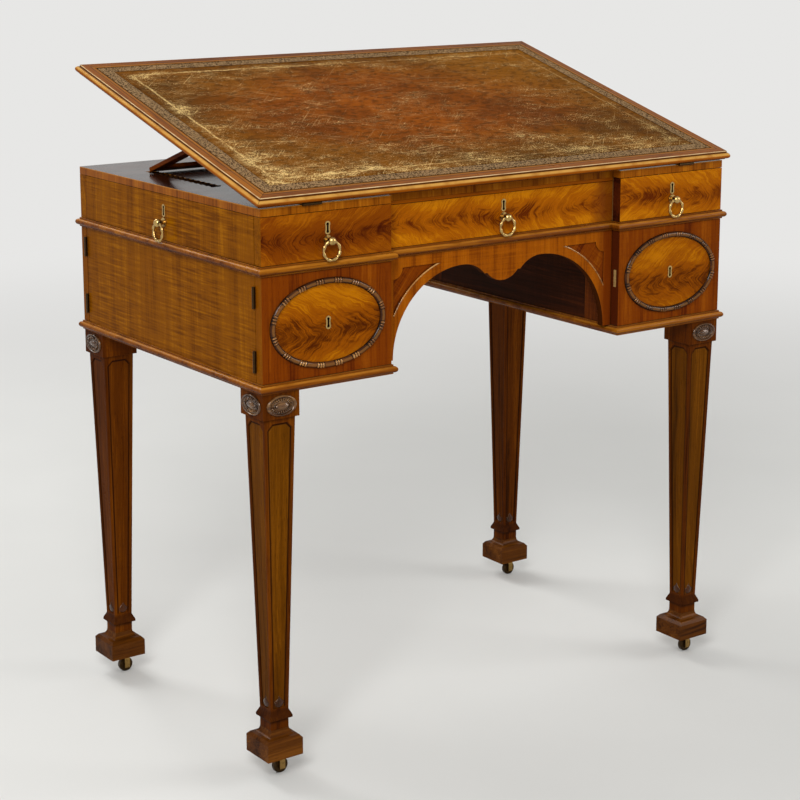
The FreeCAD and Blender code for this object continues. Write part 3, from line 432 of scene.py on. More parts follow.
@dataclass(frozen=True)
class Patina:
    """How age and painted shade show on a finish: grime and painted shade in its corners, and a polish that
    is smeared and worn.

    Attributes:
        reach: How far from a corner the grime and painted shade gather, in metres.
        grime_and_shade: How thick they are.
        grime_and_shade_colour: Their colour.
        sheen: How much the wood's own pattern changes the gloss.
        smear: How much smears change it.
        rough: The polish's own roughness.
        relief: The bump's height in millimetres.
        grime_dull: How much the corner mask of grime and painted shade dulls the polish.
    """

    reach: float
    grime_and_shade: float
    grime_and_shade_colour: Colour
    sheen: float
    smear: float
    rough: float
    relief: float
    grime_dull: float = 0.0


class MaterialBench(NodeBench):
    """One finish's material: coordinates, patterns and the surface."""

    def __init__(self, name: str) -> None:
        """Starts an empty material.

        Args:
            name: The material's name.
        """
        self.material = bpy.data.materials.new(name)
        self.material.use_nodes = True
        self.material.node_tree.nodes.clear()
        super().__init__(self.material.node_tree)
        texture = self.add("ShaderNodeTexCoord")
        self.spot: Socket = texture.outputs["Object"]
        self.normal: Socket = texture.outputs["Normal"]

    def place(
        self, turn: tuple[float, float, float] = (0, 0, 0), shift: tuple[float, float, float] = (0, 0, 0)
    ) -> Socket:
        """Gives the object's coordinates turned and shifted.

        Args:
            turn: The turn in radians about each axis.
            shift: What is added after the turn, in metres.

        Returns:
            The coordinates.
        """
        wanted = {"Vector": self.spot, "Rotation": turn, "Location": shift}
        return self.add("ShaderNodeMapping", wanted).outputs[0]

    def on_slab(self) -> Socket:
        """Gives coordinates on the sloping slab: x across, y up its slope, z out of it."""
        shift = -(Matrix.Rotation(-SLAB_TILT, 3, "X") @ SLAB_HINGE)
        return self.place((-SLAB_TILT, 0.0, 0.0), tuple(shift))

    def facing(self, axis: int) -> Socket:
        """Says how squarely a face looks along an axis, from 0 to 1."""
        return self.calc("ABSOLUTE", self.split(self.normal)[axis])

    def wood(
        self, spot: Socket, tones: Tones, ripple: float = 0.0, pores: float = 0.5, bands: float = 1.1
    ) -> bpy.types.NodeOutputs:
        """Places wood with straight grain.

        Args:
            spot: The coordinates, with the fibres along X.
            tones: The wood's colours.
            ripple: How strong the cross ripple is.
            pores: How dark the open pores are.
            bands: How strong the bands and streaks are.

        Returns:
            The outputs Color, Height and Sheen.
        """
        values = {"Ripple": ripple, "Pores": pores, "Bands": bands}
        return self.group(EFFECTS.straight, {"Vector": spot, **tones.inputs(), **values})

    def flame(
        self, spot: Socket, tones: Tones, lean: float, spread: float, seed: float
    ) -> bpy.types.NodeOutputs:
        """Places flame figure.

        Args:
            spot: The coordinates, with the dark spine along X through the origin.
            tones: The wood's colours.
            lean: How far the feathers lean over.
            spread: How far the dark of the spine reaches.
            seed: Picks one of many leaves of veneer.

        Returns:
            The outputs Color, Height and Sheen.
        """
        values = {"Lean": lean, "Spread": spread, "Seed": seed}
        return self.group(EFFECTS.flame, {"Vector": spot, **tones.inputs(), **values})

    def age(self, reach: float) -> bpy.types.NodeOutputs:
        """Places the marks of age and the painted shade in corners."""
        return self.group(EFFECTS.age, {"Vector": self.spot, "Reach": reach})

    def surface(
        self, colour: Any, rough: Any, height: Any, relief: float, **constants: Any
    ) -> bpy.types.Material:
        """Ends the material in one Principled shader with a bump.

        Args:
            colour: The base colour's socket.
            rough: The roughness socket.
            height: The bump's pattern.
            relief: The bump's height in millimetres.
            constants: Values or sockets for the shader's own inputs, with _ for a space.

        Returns:
            The material.
        """
        bump = self.add("ShaderNodeBump", {"Height": height, "Strength": 1.0, "Distance": relief * MM})
        wanted = {"Base Color": colour, "Roughness": rough, "Normal": bump.outputs[0]}
        wanted |= {key.replace("_", " "): value for key, value in constants.items()}
        shader = self.add("ShaderNodeBsdfPrincipled", wanted)
        self.add("ShaderNodeOutputMaterial", {"Surface": shader.outputs[0]})
        return self.material

    def aged(
        self,
        colour: Socket,
        sheen: Socket,
        height: Socket,
        patina: Patina,
        gloss: dict[str, Any],
        duller: Socket | None = None,
    ) -> bpy.types.Material:
        """Ends the material in a surface that bears the marks of age and painted shade in its corners.

        Args:
            colour: The clean colour.
            sheen: The pattern by which the wood changes its own gloss.
            height: The bump's pattern.
            patina: How age and painted shade show.
            gloss: Values or sockets for the shader's own inputs, with _ for a space.
            duller: What is added to the roughness.

        Returns:
            The material.
        """
        age = self.age(patina.reach)
        # Grime and painted shade darken the corners.
        grimed_and_shaded = self.mix(self.times(age["GrimeAndShade"], patina.grime_and_shade), colour, patina.grime_and_shade_colour)
        smear = self.weigh(age["Smear"], patina.smear)
        rough = self.total(self.weigh(sheen, patina.sheen), smear, patina.rough)
        if patina.grime_dull:
            rough = self.calc("ADD", rough, self.times(age["GrimeAndShade"], patina.grime_dull))
        if duller is not None:
            rough = self.calc("ADD", rough, duller)
        return self.surface(grimed_and_shaded, rough, height, patina.relief, **gloss)


# Finishes


@dataclass(frozen=True)
class Polish:
    """Old shellac: amber gleams from the wood and a thin clear film over it."""

    film: float = 0.03
    film_rough: float = 0.07
    gleam: float = 0.01

    def constants(self) -> dict[str, Any]:
        """Gives the values for the shader's own sockets."""
        return {
            "Specular_IOR_Level": self.gleam,
            "Specular_Tint": (1.0, 0.50, 0.14, 1.0),
            "Coat_Weight": self.film,
            "Coat_Roughness": self.film_rough,
        }


MOULDING = Tones(tint(78, 34, 4), tint(116, 60, 6), tint(150, 90, 14))
BARS = Tones(tint(30, 13, 4), tint(54, 26, 8), tint(84, 46, 16))
# Painted highlight: pale tones for the slim spandrel bead.
SLIM_BEAD_HIGHLIT = Tones(tint(112, 66, 20), tint(164, 110, 48), tint(204, 156, 92))
GOLDEN = Tones(tint(101, 54, 2), tint(126, 71, 2), tint(150, 91, 5))
FLAMED = Tones(tint(74, 22, 2), tint(130, 64, 3), tint(168, 97, 6))
FLAMED_RED = Tones(tint(62, 17, 2), tint(116, 54, 3), tint(152, 84, 6))
FLAMED_GOLD = Tones(tint(84, 30, 2), tint(150, 79, 4), tint(186, 113, 8))
OVAL_FIELD = Tones(tint(72, 28, 2), tint(136, 69, 3), tint(174, 104, 6))
BANDED = Tones(tint(78, 27, 3), tint(112, 49, 3), tint(134, 67, 6))
APRON = Tones(tint(112, 52, 4), tint(142, 72, 5), tint(160, 87, 9))
LEG = Tones(tint(46, 16, 2), tint(80, 36, 3), tint(106, 54, 5))
LEG_FIELD = Tones(tint(56, 28, 2), tint(88, 48, 3), tint(112, 64, 6))
FOOT = Tones(tint(46, 21, 4), tint(80, 42, 8), tint(108, 62, 16))
# Painted shade: darker panel tones for the rear legs.
SHADED_REAR_FIELD = Tones(tint(48, 20, 2), tint(80, 37, 3), tint(102, 52, 5))
CARVED = Tones(tint(32, 16, 7), tint(70, 41, 17), tint(122, 86, 48))
# Painted highlight: the pearls' tones are paler than the bars'.
HIGHLIT_PEARL = Tones(tint(50, 25, 8), tint(116, 73, 31), tint(182, 134, 76))
TOP_EDGE = Tones(tint(96, 45, 4), tint(136, 73, 8), tint(160, 94, 16))
# Painted shade: very dark tones for the kneehole's inner sides.
SHADED_CHEEK = Tones(tint(24, 8, 2), tint(44, 16, 4), tint(66, 28, 7))
JAMB = Tones(tint(50, 19, 4), tint(82, 35, 6), tint(106, 50, 10))
DEEP = Tones(tint(28, 10, 3), tint(50, 20, 5), tint(76, 34, 8))
# Painted shade: dark red for edges that face the kneehole.
SHADED_EDGE_RED = Tones(tint(42, 14, 5), tint(70, 26, 7), tint(92, 40, 10))
SLAB_BORDER = Tones(tint(86, 40, 5), tint(128, 70, 9), tint(158, 94, 16))
LINING = Tones(tint(112, 74, 36), tint(146, 104, 56), tint(174, 134, 82))


@dataclass(frozen=True)
class Veneer:
    """Polished wood with straight grain."""

    name: str
    tones: Tones
    axis: GrainAxis
    ripple: float = 0.0
    pores: float = 0.5
    shift: tuple[float, float, float] = (0.0, 0.0, 0.0)
    rough: float = 0.30
    polish: Polish = Polish()
    # How thick the grime and painted shade in corners are, and how far they reach.
    grime_and_shade: float = 0.72
    reach: float = 6 * MM
    bands: float = 1.1
    boards_along_y: bool = False

    def material(self) -> bpy.types.Material:
        """Makes the material.

        Returns:
            The material.
        """
        bench = MaterialBench(self.name)
        look = (self.tones, self.ripple, self.pores, self.bands)
        grain = bench.wood(bench.place(self.axis.value, self.shift), *look)
        colour = grain["Color"]
        if self.boards_along_y:
            board = bench.wood(bench.place(GrainAxis.Y.value, self.shift), *look)
            sideways = bench.calc("GREATER_THAN", bench.facing(0), SQUARE_ON)
            colour = bench.mix(sideways, colour, board["Color"])
        patina = Patina(
            reach=self.reach, grime_and_shade=self.grime_and_shade, grime_and_shade_colour=tint(26, 11, 5), sheen=0.16, smear=0.30,
            rough=self.rough, relief=0.05, grime_dull=0.25,
        )
        return bench.aged(colour, grain["Sheen"], grain["Height"], patina, self.polish.constants())


@dataclass(frozen=True)
class MouldedWood:
    """A planed moulding: a painted highlight on top and painted shade underneath."""

    name: str
    tones: Tones

    def material(self) -> bpy.types.Material:
        """Makes the material.

        Returns:
            The material.
        """
        bench = MaterialBench(self.name)
        grain = bench.wood(bench.place(GrainAxis.X.value), self.tones, pores=0.6)
        up = bench.split(bench.normal)[2]
        # Painted highlight: faces that look up are lighter, broken up by noise.
        rub_and_highlight = bench.noise(bench.spot, 30.0, 3.0)
        crest_highlight = bench.times(bench.ease(up, 0.25, 0.85, 0.0, 0.6), bench.ease(rub_and_highlight, 0.25, 0.6, 0.4, 1.0))
        colour = bench.mix(crest_highlight, grain["Color"], tint(190, 124, 40))
        # Painted shade: faces that look down are darker.
        colour = bench.mix(bench.ease(up, -0.55, -0.05, 0.75, 0.0), colour, self.tones.dark)
        patina = Patina(
            reach=4 * MM, grime_and_shade=0.8, grime_and_shade_colour=tint(30, 13, 6), sheen=0.14, smear=0.24, rough=0.24, relief=0.04
        )
        gloss = Polish(0.09, 0.08, 0.03).constants()
        return bench.aged(colour, grain["Sheen"], grain["Height"], patina, gloss)


@dataclass(frozen=True)
class LegWood:
    """A tapered leg: golden wood in its sunk panels, redder margins and painted shadow lines between them.
    """

    leg_x: float
    middle_y: float
    half_span: float
    half_foot: float
    half_top: float
    foot: float
    top: float
    field: Tones = LEG_FIELD
    name: str = "leg_mahogany"
    margin: float = 5 * MM
    head: float = 8 * MM
    cut_corner: float = 8 * MM

    def panel_edge(self, bench: MaterialBench) -> Socket:
        """Gives how far a place lies inside the outline of its sunk panel.

        Args:
            bench: The material.

        Returns:
            The distance, below zero outside the panel.
        """
        x, y, z = bench.split(bench.spot)
        from_x = bench.gap(bench.calc("ABSOLUTE", x), self.leg_x)
        from_y = bench.gap(bench.gap(y, self.middle_y), self.half_span)
        on_side = bench.calc("GREATER_THAN", bench.facing(0), SQUARE_ON)
        across = bench.split(bench.mix(on_side, bench.vector(from_x, 0.0), bench.vector(from_y, 0.0)))[0]
        slope = (self.half_top - self.half_foot) / (self.top - self.foot)
        half = bench.calc("ADD", bench.times(bench.calc("SUBTRACT", z, self.foot), slope), self.half_foot)
        edge = bench.calc("SUBTRACT", bench.calc("SUBTRACT", half, across), self.margin)
        head = bench.calc("SUBTRACT", self.top - self.head, z)
        corner = bench.calc("SUBTRACT", bench.calc("ADD", edge, head), self.cut_corner)
        corner = bench.times(corner, math.sqrt(0.5))
        return bench.calc("MINIMUM", bench.calc("MINIMUM", edge, head), corner)

    def material(self) -> bpy.types.Material:
        """Makes the material.

        Returns:
            The material.
        """
        bench = MaterialBench(self.name)
        spot = bench.place(GrainAxis.Z.value)
        frame_wood = bench.wood(spot, LEG, 0.04, 0.6)
        field_wood = bench.wood(spot, self.field, 0.04, 0.6)
        z = bench.split(bench.spot)[2]
        edge = self.panel_edge(bench)
        rows = bench.ease(z, self.foot + 3 * MM, self.foot + 6 * MM)
        field = bench.times(bench.ease(edge, 0.0, 1.2 * MM), rows)
        colour = bench.mix(field, frame_wood["Color"], field_wood["Color"])
        # Painted shadow: a dark line along the step round each sunk panel.
        line = bench.ease(bench.gap(edge, 0.8 * MM), 0.7 * MM, 2.2 * MM, 0.9, 0.0)
        colour = bench.mix(bench.times(line, rows), colour, tint(30, 10, 3))
        over = bench.ease(z, self.foot - 2 * MM, self.foot + 6 * MM, 1.0, 0.0)
        collar = bench.times(bench.ease(z, self.foot - 20 * MM, self.foot - 14 * MM, 0.0, 0.6), over)
        colour = bench.mix(collar, colour, tint(36, 16, 7))
        patina = Patina(
            reach=8 * MM, grime_and_shade=0.85, grime_and_shade_colour=tint(24, 10, 5), sheen=0.16, smear=0.30, rough=0.30, relief=0.05
        )
        return bench.aged(colour, frame_wood["Sheen"], frame_wood["Height"], patina, Polish().constants())


@dataclass(frozen=True)
class DrawerVeneer:
    """A drawer front: flame figure on its face and plain wood on its edges, with painted shade towards one
    end where asked.
    """

    name: str
    centre: Vector
    lean: float
    seed: float
    spread: float = 28 * MM
    flame: Tones = FLAMED
    edge: Tones = BANDED
    shaded_end: float | None = None

    def material(self) -> bpy.types.Material:
        """Makes the material.

        Returns:
            The material.
        """
        bench = MaterialBench(self.name)
        spot = bench.place(shift=tuple(-self.centre))
        face = bench.flame(spot, self.flame, self.lean, self.spread, self.seed)
        edge = bench.wood(bench.place(GrainAxis.X.value), self.edge, pores=0.6)
        colour = bench.mix(bench.ease(bench.facing(1), 0.55, 0.8), edge["Color"], face["Color"])
        # Painted shade: the front darkens towards its right end.
        if self.shaded_end is not None:
            cloud = bench.weigh(bench.noise(bench.spot, 40.0, 3.0), 40 * MM)
            near = bench.calc("ADD", bench.split(bench.spot)[0], cloud)
            near = bench.ease(near, self.shaded_end - 48 * MM, self.shaded_end - 14 * MM, 0.0, 0.7)
            colour = bench.mix(near, colour, tint(92, 40, 10))
        patina = Patina(
            reach=6 * MM, grime_and_shade=0.7, grime_and_shade_colour=tint(34, 13, 6), sheen=0.12, smear=0.26, rough=0.27, relief=0.03
        )
        return bench.aged(colour, face["Sheen"], face["Height"], patina, Polish().constants())


@dataclass(frozen=True)
class DoorVeneer:
    """A cupboard door: a flamed oval field in a carved moulding, with crossbanded corners."""

    name: str
    middle: Vector
    half_long: float
    half_tall: float
    face_y: float
    seed: float
    groups: int
    cut_half: float

    def oval_speed(self) -> tuple[float, float]:
        """Gives the oval's mean length per radian and the swing of that length at twice the turn.

        Returns:
            The mean and the swing, in metres.
        """
        samples = 360
        turns = [math.tau * (number + 0.5) / samples for number in range(samples)]
        speeds = [math.hypot(self.half_long * math.sin(t), self.half_tall * math.cos(t)) for t in turns]
        swing = 2 * sum(speed * math.cos(2 * t) for speed, t in zip(speeds, turns)) / samples
        return sum(speeds) / samples, swing

    def carving(self, bench: MaterialBench, side: Socket, up: Socket, proud: Socket) -> Socket:
        """Gives the colour of the carved moulding: a painted highlight on its ridge, and painted shade
        behind its groups of beads.

        Args:
            bench: The material.
            side, up: The place on the door, in parts of the oval's half axes.
            proud: How far it stands out from the door's face.

        Returns:
            The colour.
        """
        wood = bench.wood(bench.place(GrainAxis.X.value), BARS)
        turn = bench.calc("ARCTAN2", up, side)
        mean, swing = self.oval_speed()
        swung = bench.times(bench.calc("SINE", bench.times(turn, 2.0)), swing / 2)
        walk = bench.calc("ADD", bench.times(turn, mean), swung)
        pitch = math.tau * mean / self.groups
        step = bench.gap(bench.calc("FRACT", bench.calc("DIVIDE", walk, pitch)), 0.5)
        # Painted shade: dark gaps behind each group of beads.
        cut = bench.ease(step, self.cut_half / pitch, self.cut_half / pitch + 0.03, 0.85, 0.0)
        # Painted highlight: a pale line along the moulding's ridge, which also stands for its rubbed edge.
        ridge_highlight = bench.ease(proud, 3.4 * MM, 4.2 * MM, 0.0, 0.40)
        colour = bench.mix(ridge_highlight, wood["Color"], tint(152, 100, 42))
        return bench.mix(cut, colour, tint(20, 9, 4))

    def material(self) -> bpy.types.Material:
        """Makes the material.

        Returns:
            The material.
        """
        bench = MaterialBench(self.name)
        spot = bench.place(shift=tuple(Vector((0.0, 0.0, 14 * MM)) - self.middle))
        field = bench.flame(spot, OVAL_FIELD, math.copysign(1.5, -self.middle.x), 46 * MM, self.seed)
        corner = bench.wood(bench.place(GrainAxis.Z.value, (0.0, self.seed, 0.0)), BANDED, 0.05, 0.55)
        x, y, z = bench.split(bench.place(shift=tuple(-self.middle)))
        side, up = bench.calc("DIVIDE", x, self.half_long), bench.calc("DIVIDE", z, self.half_tall)
        far = bench.calc("ADD", bench.calc("POWER", side, 2.0), bench.calc("POWER", up, 2.0))
        outward = bench.times(y, math.copysign(1.0, self.face_y - self.middle.y))
        inside = bench.times(bench.calc("LESS_THAN", far, 1.0), bench.calc("GREATER_THAN", outward, 0.0))
        proud = bench.calc("SUBTRACT", bench.calc("ABSOLUTE", y), abs(self.face_y - self.middle.y))
        on_bead = bench.calc("GREATER_THAN", proud, 0.35 * MM)
        colour = bench.mix(inside, corner["Color"], field["Color"])
        colour = bench.mix(on_bead, colour, self.carving(bench, side, up, proud))
        off_bead = bench.calc("SUBTRACT", 1.0, on_bead)
        edge = bench.times(bench.ease(bench.facing(0), SQUARE_ON, 0.85), off_bead)
        outer = bench.calc("GREATER_THAN", bench.times(x, math.copysign(1.0, self.middle.x)), 0.0)
        # Painted shade: the door's inner edge, towards the kneehole, in dark red.
        inner_edge = bench.times(edge, bench.calc("SUBTRACT", 1.0, outer))
        colour = bench.mix(inner_edge, colour, SHADED_EDGE_RED.mid)
        golden = bench.wood(bench.place(GrainAxis.Z.value), GOLDEN, 0.1)
        colour = bench.mix(bench.times(edge, outer, 0.8), colour, golden["Color"])
        patina = Patina(
            reach=5 * MM, grime_and_shade=0.8, grime_and_shade_colour=tint(30, 12, 6), sheen=0.12, smear=0.26, rough=0.28, relief=0.03
        )
        gloss = {**Polish().constants(), "Coat_Weight": bench.ease(on_bead, 0.0, 1.0, Polish().film, 0.3)}
        return bench.aged(colour, field["Sheen"], corner["Height"], patina, gloss)


@dataclass(frozen=True)
class CheekWood:
    """The kneehole's inner sides: wood darkened with painted shade, with a lighter upright at each end."""

    front: float
    rear: float
    jamb: float = 60 * MM
    name: str = "kneehole_cheeks"

    def material(self) -> bpy.types.Material:
        """Makes the material.

        Returns:
            The material.
        """
        bench = MaterialBench(self.name)
        field = bench.wood(bench.place(GrainAxis.Y.value), SHADED_CHEEK, 0.1)
        upright = bench.wood(bench.place(GrainAxis.Z.value), JAMB, 0.1)
        depth = bench.within(bench.split(bench.spot)[1], self.front, self.rear)
        colour = bench.mix(bench.calc("LESS_THAN", depth, self.jamb), field["Color"], upright["Color"])
        joint = bench.ease(bench.gap(depth, self.jamb), 0.3 * MM, 1.2 * MM, 0.8, 0.0)
        colour = bench.mix(joint, colour, tint(18, 7, 3))
        patina = Patina(
            reach=12 * MM, grime_and_shade=0.8, grime_and_shade_colour=tint(20, 8, 4), sheen=0.16, smear=0.3, rough=0.40, relief=0.05
        )
        gloss = Polish(0.0, 0.1, 0.03).constants()
        return bench.aged(colour, field["Sheen"], field["Height"], patina, gloss)


@dataclass(frozen=True)
class ArchVeneer:
    """A kneehole arch: crossbanding round sunk spandrels of darker wood, with painted shade on the faces
    that look neither forward nor back.
    """

    front: float
    rear: float
    end: float
    sunk: float = 2 * MM
    name: str = "kneehole_crossbanding"

    def material(self) -> bpy.types.Material:
        """Makes the material.

        Returns:
            The material.
        """
        bench = MaterialBench(self.name)
        band = bench.wood(bench.place(GrainAxis.Z.value, (0.3, 0.0, 0.1)), APRON, 0.2, 0.55)
        pocket = bench.wood(bench.place((0.0, 0.9, 0.0)), BANDED, 0.25, 0.6)
        x, y, _ = bench.split(bench.spot)
        off = bench.gap(bench.within(y, self.front, self.rear), self.sunk)
        colour = bench.mix(bench.calc("LESS_THAN", off, 0.4 * MM), band["Color"], pocket["Color"])
        red_end = bench.ease(x, self.end - 26 * MM, self.end - 10 * MM, 0.0, 0.8)
        colour = bench.mix(red_end, colour, tint(100, 36, 6))
        # Painted shade: faces that look neither forward nor back, chiefly the arch's underside, are
        # darkened; there the coat is also taken off and the polish dulled.
        under = bench.ease(bench.facing(1), 0.3, 0.6, 0.9, 0.0)
        colour = bench.mix(under, colour, tint(40, 16, 4))
        patina = Patina(
            reach=5 * MM, grime_and_shade=0.75, grime_and_shade_colour=tint(34, 13, 5), sheen=0.14, smear=0.28, rough=0.28, relief=0.04
        )
        gloss = {**Polish().constants(), "Coat_Weight": bench.ease(under, 0.0, 0.5, Polish().film, 0.0)}
        return bench.aged(colour, band["Sheen"], band["Height"], patina, gloss, bench.times(under, 0.5))


@dataclass(frozen=True)
class PolishedTop:
    """The case top: dark mirror polish above, a crossbanded strip round its edge with a painted highlight
    along its upper arris.
    """

    front: float
    top: float
    name: str = "polished_case_top"

    def material(self) -> bpy.types.Material:
        """Makes the material.

        Returns:
            The material.
        """
        bench = MaterialBench(self.name)
        top = bench.wood(bench.place(GrainAxis.X.value), DEEP, 0.03, 0.4)
        band = bench.wood(bench.place(GrainAxis.Z.value), TOP_EDGE, 0.02)
        level = bench.ease(bench.facing(2), 0.5, 0.8)
        _, y, z = bench.split(bench.spot)
        # Painted highlight: the strip's upper arris is lighter.
        rubbed_and_highlit = bench.ease(z, self.top - 1.6 * MM, self.top - 0.2 * MM, 0.0, 0.7)
        arris_highlight = bench.times(rubbed_and_highlit, bench.calc("SUBTRACT", 1.0, level))
        colour = bench.mix(arris_highlight, band["Color"], tint(196, 134, 52))
        colour = bench.mix(level, colour, top["Color"])
        film = bench.times(level, bench.ease(y, self.front + 6 * MM, self.front + 60 * MM, 0.0, 0.12))
        patina = Patina(
            reach=6 * MM, grime_and_shade=0.6, grime_and_shade_colour=tint(22, 9, 5), sheen=0.0, smear=0.16, rough=0.18, relief=0.02
        )
        gloss = {**Polish(0.0, 0.04, 0.05).constants(), "Coat_Weight": film}
        return bench.aged(colour, top["Sheen"], top["Height"], patina, gloss)


@dataclass(frozen=True)
class SlabFrameFinish:
    """The slab's border: four mitred members with a moulded edge, the grain along each, with painted
    highlights and painted shade on the moulded edge.
    """

    half_width: float
    front: float
    rear: float
    top: float
    border: float
    name: str = "mitred_slab_border"

    def material(self) -> bpy.types.Material:
        """Makes the material.

        Returns:
            The material.
        """
        bench = MaterialBench(self.name)
        x, y, z = bench.split(bench.on_slab())
        to_side = bench.calc("SUBTRACT", self.half_width, bench.calc("ABSOLUTE", x))
        to_end = bench.within(y, self.front, self.rear)
        lead = bench.calc("SUBTRACT", to_end, to_side)
        on_side = bench.calc("GREATER_THAN", lead, 0.0)
        along = bench.mix(on_side, bench.vector(x, y, z), bench.vector(y, x, z))
        grain = bench.wood(along, SLAB_BORDER, 0.03, 0.55)
        bright = bench.wood(along, APRON)
        inset = bench.calc("MINIMUM", to_side, to_end)
        down = bench.calc("SUBTRACT", self.top, z)
        rub_and_highlight = bench.ease(bench.noise(bench.spot, 45.0, 4.0), 0.25, 0.6, 0.45, 1.0)
        rim = bench.ease(inset, 5.4 * MM, 6.2 * MM, 1.0, 0.0)
        # Painted shade in the step under the top arris.
        step = bench.times(bench.ease(down, 0.7 * MM, 1.3 * MM), rim, 0.8)
        colour = bench.mix(step, grain["Color"], tint(66, 30, 8))
        # Painted highlight on the bead's upper side.
        crest_highlight = bench.times(bench.ease(down, 4.8 * MM, 7.2 * MM, 0.8, 0.0), rub_and_highlight)
        round_edge = bench.mix(crest_highlight, bright["Color"], tint(206, 156, 76))
        shade = bench.ease(down, 8.4 * MM, 11.2 * MM, 0.0, 0.75)
        round_edge = bench.mix(shade, round_edge, tint(70, 32, 4))
        colour = bench.mix(bench.ease(down, 2.9 * MM, 3.3 * MM), colour, round_edge)
        # Painted highlight along the top arris, broken up by noise.
        arris_highlight = bench.times(bench.ease(down, 0.5 * MM, 1.1 * MM, 0.9, 0.0), rim, rub_and_highlight)
        colour = bench.mix(arris_highlight, colour, tint(226, 198, 150))
        strip = bench.ease(inset, self.border - 5.6 * MM, self.border - 4.8 * MM, 0.0, 0.5)
        colour = bench.mix(strip, colour, tint(150, 94, 20))
        string = bench.ease(bench.gap(inset, self.border - 5.4 * MM), 0.4 * MM, 1.0 * MM, 0.8, 0.0)
        colour = bench.mix(string, colour, tint(40, 18, 5))
        mitre = bench.ease(bench.calc("ABSOLUTE", lead), 0.2 * MM, 0.7 * MM, 0.8, 0.0)
        colour = bench.mix(mitre, colour, tint(36, 15, 7))
        patina = Patina(
            reach=4 * MM, grime_and_shade=0.85, grime_and_shade_colour=tint(28, 12, 6), sheen=0.14, smear=0.3, rough=0.30, relief=0.04
        )
        gloss = Polish(0.03, 0.10, 0.02).constants()
        return bench.aged(colour, grain["Sheen"], grain["Height"], patina, gloss)


SCRATCHES = ((0.55, 9.0, 560.0), (-0.8, 12.0, 640.0), (0.1, 8.0, 520.0), (-0.25, 10.0, 600.0))


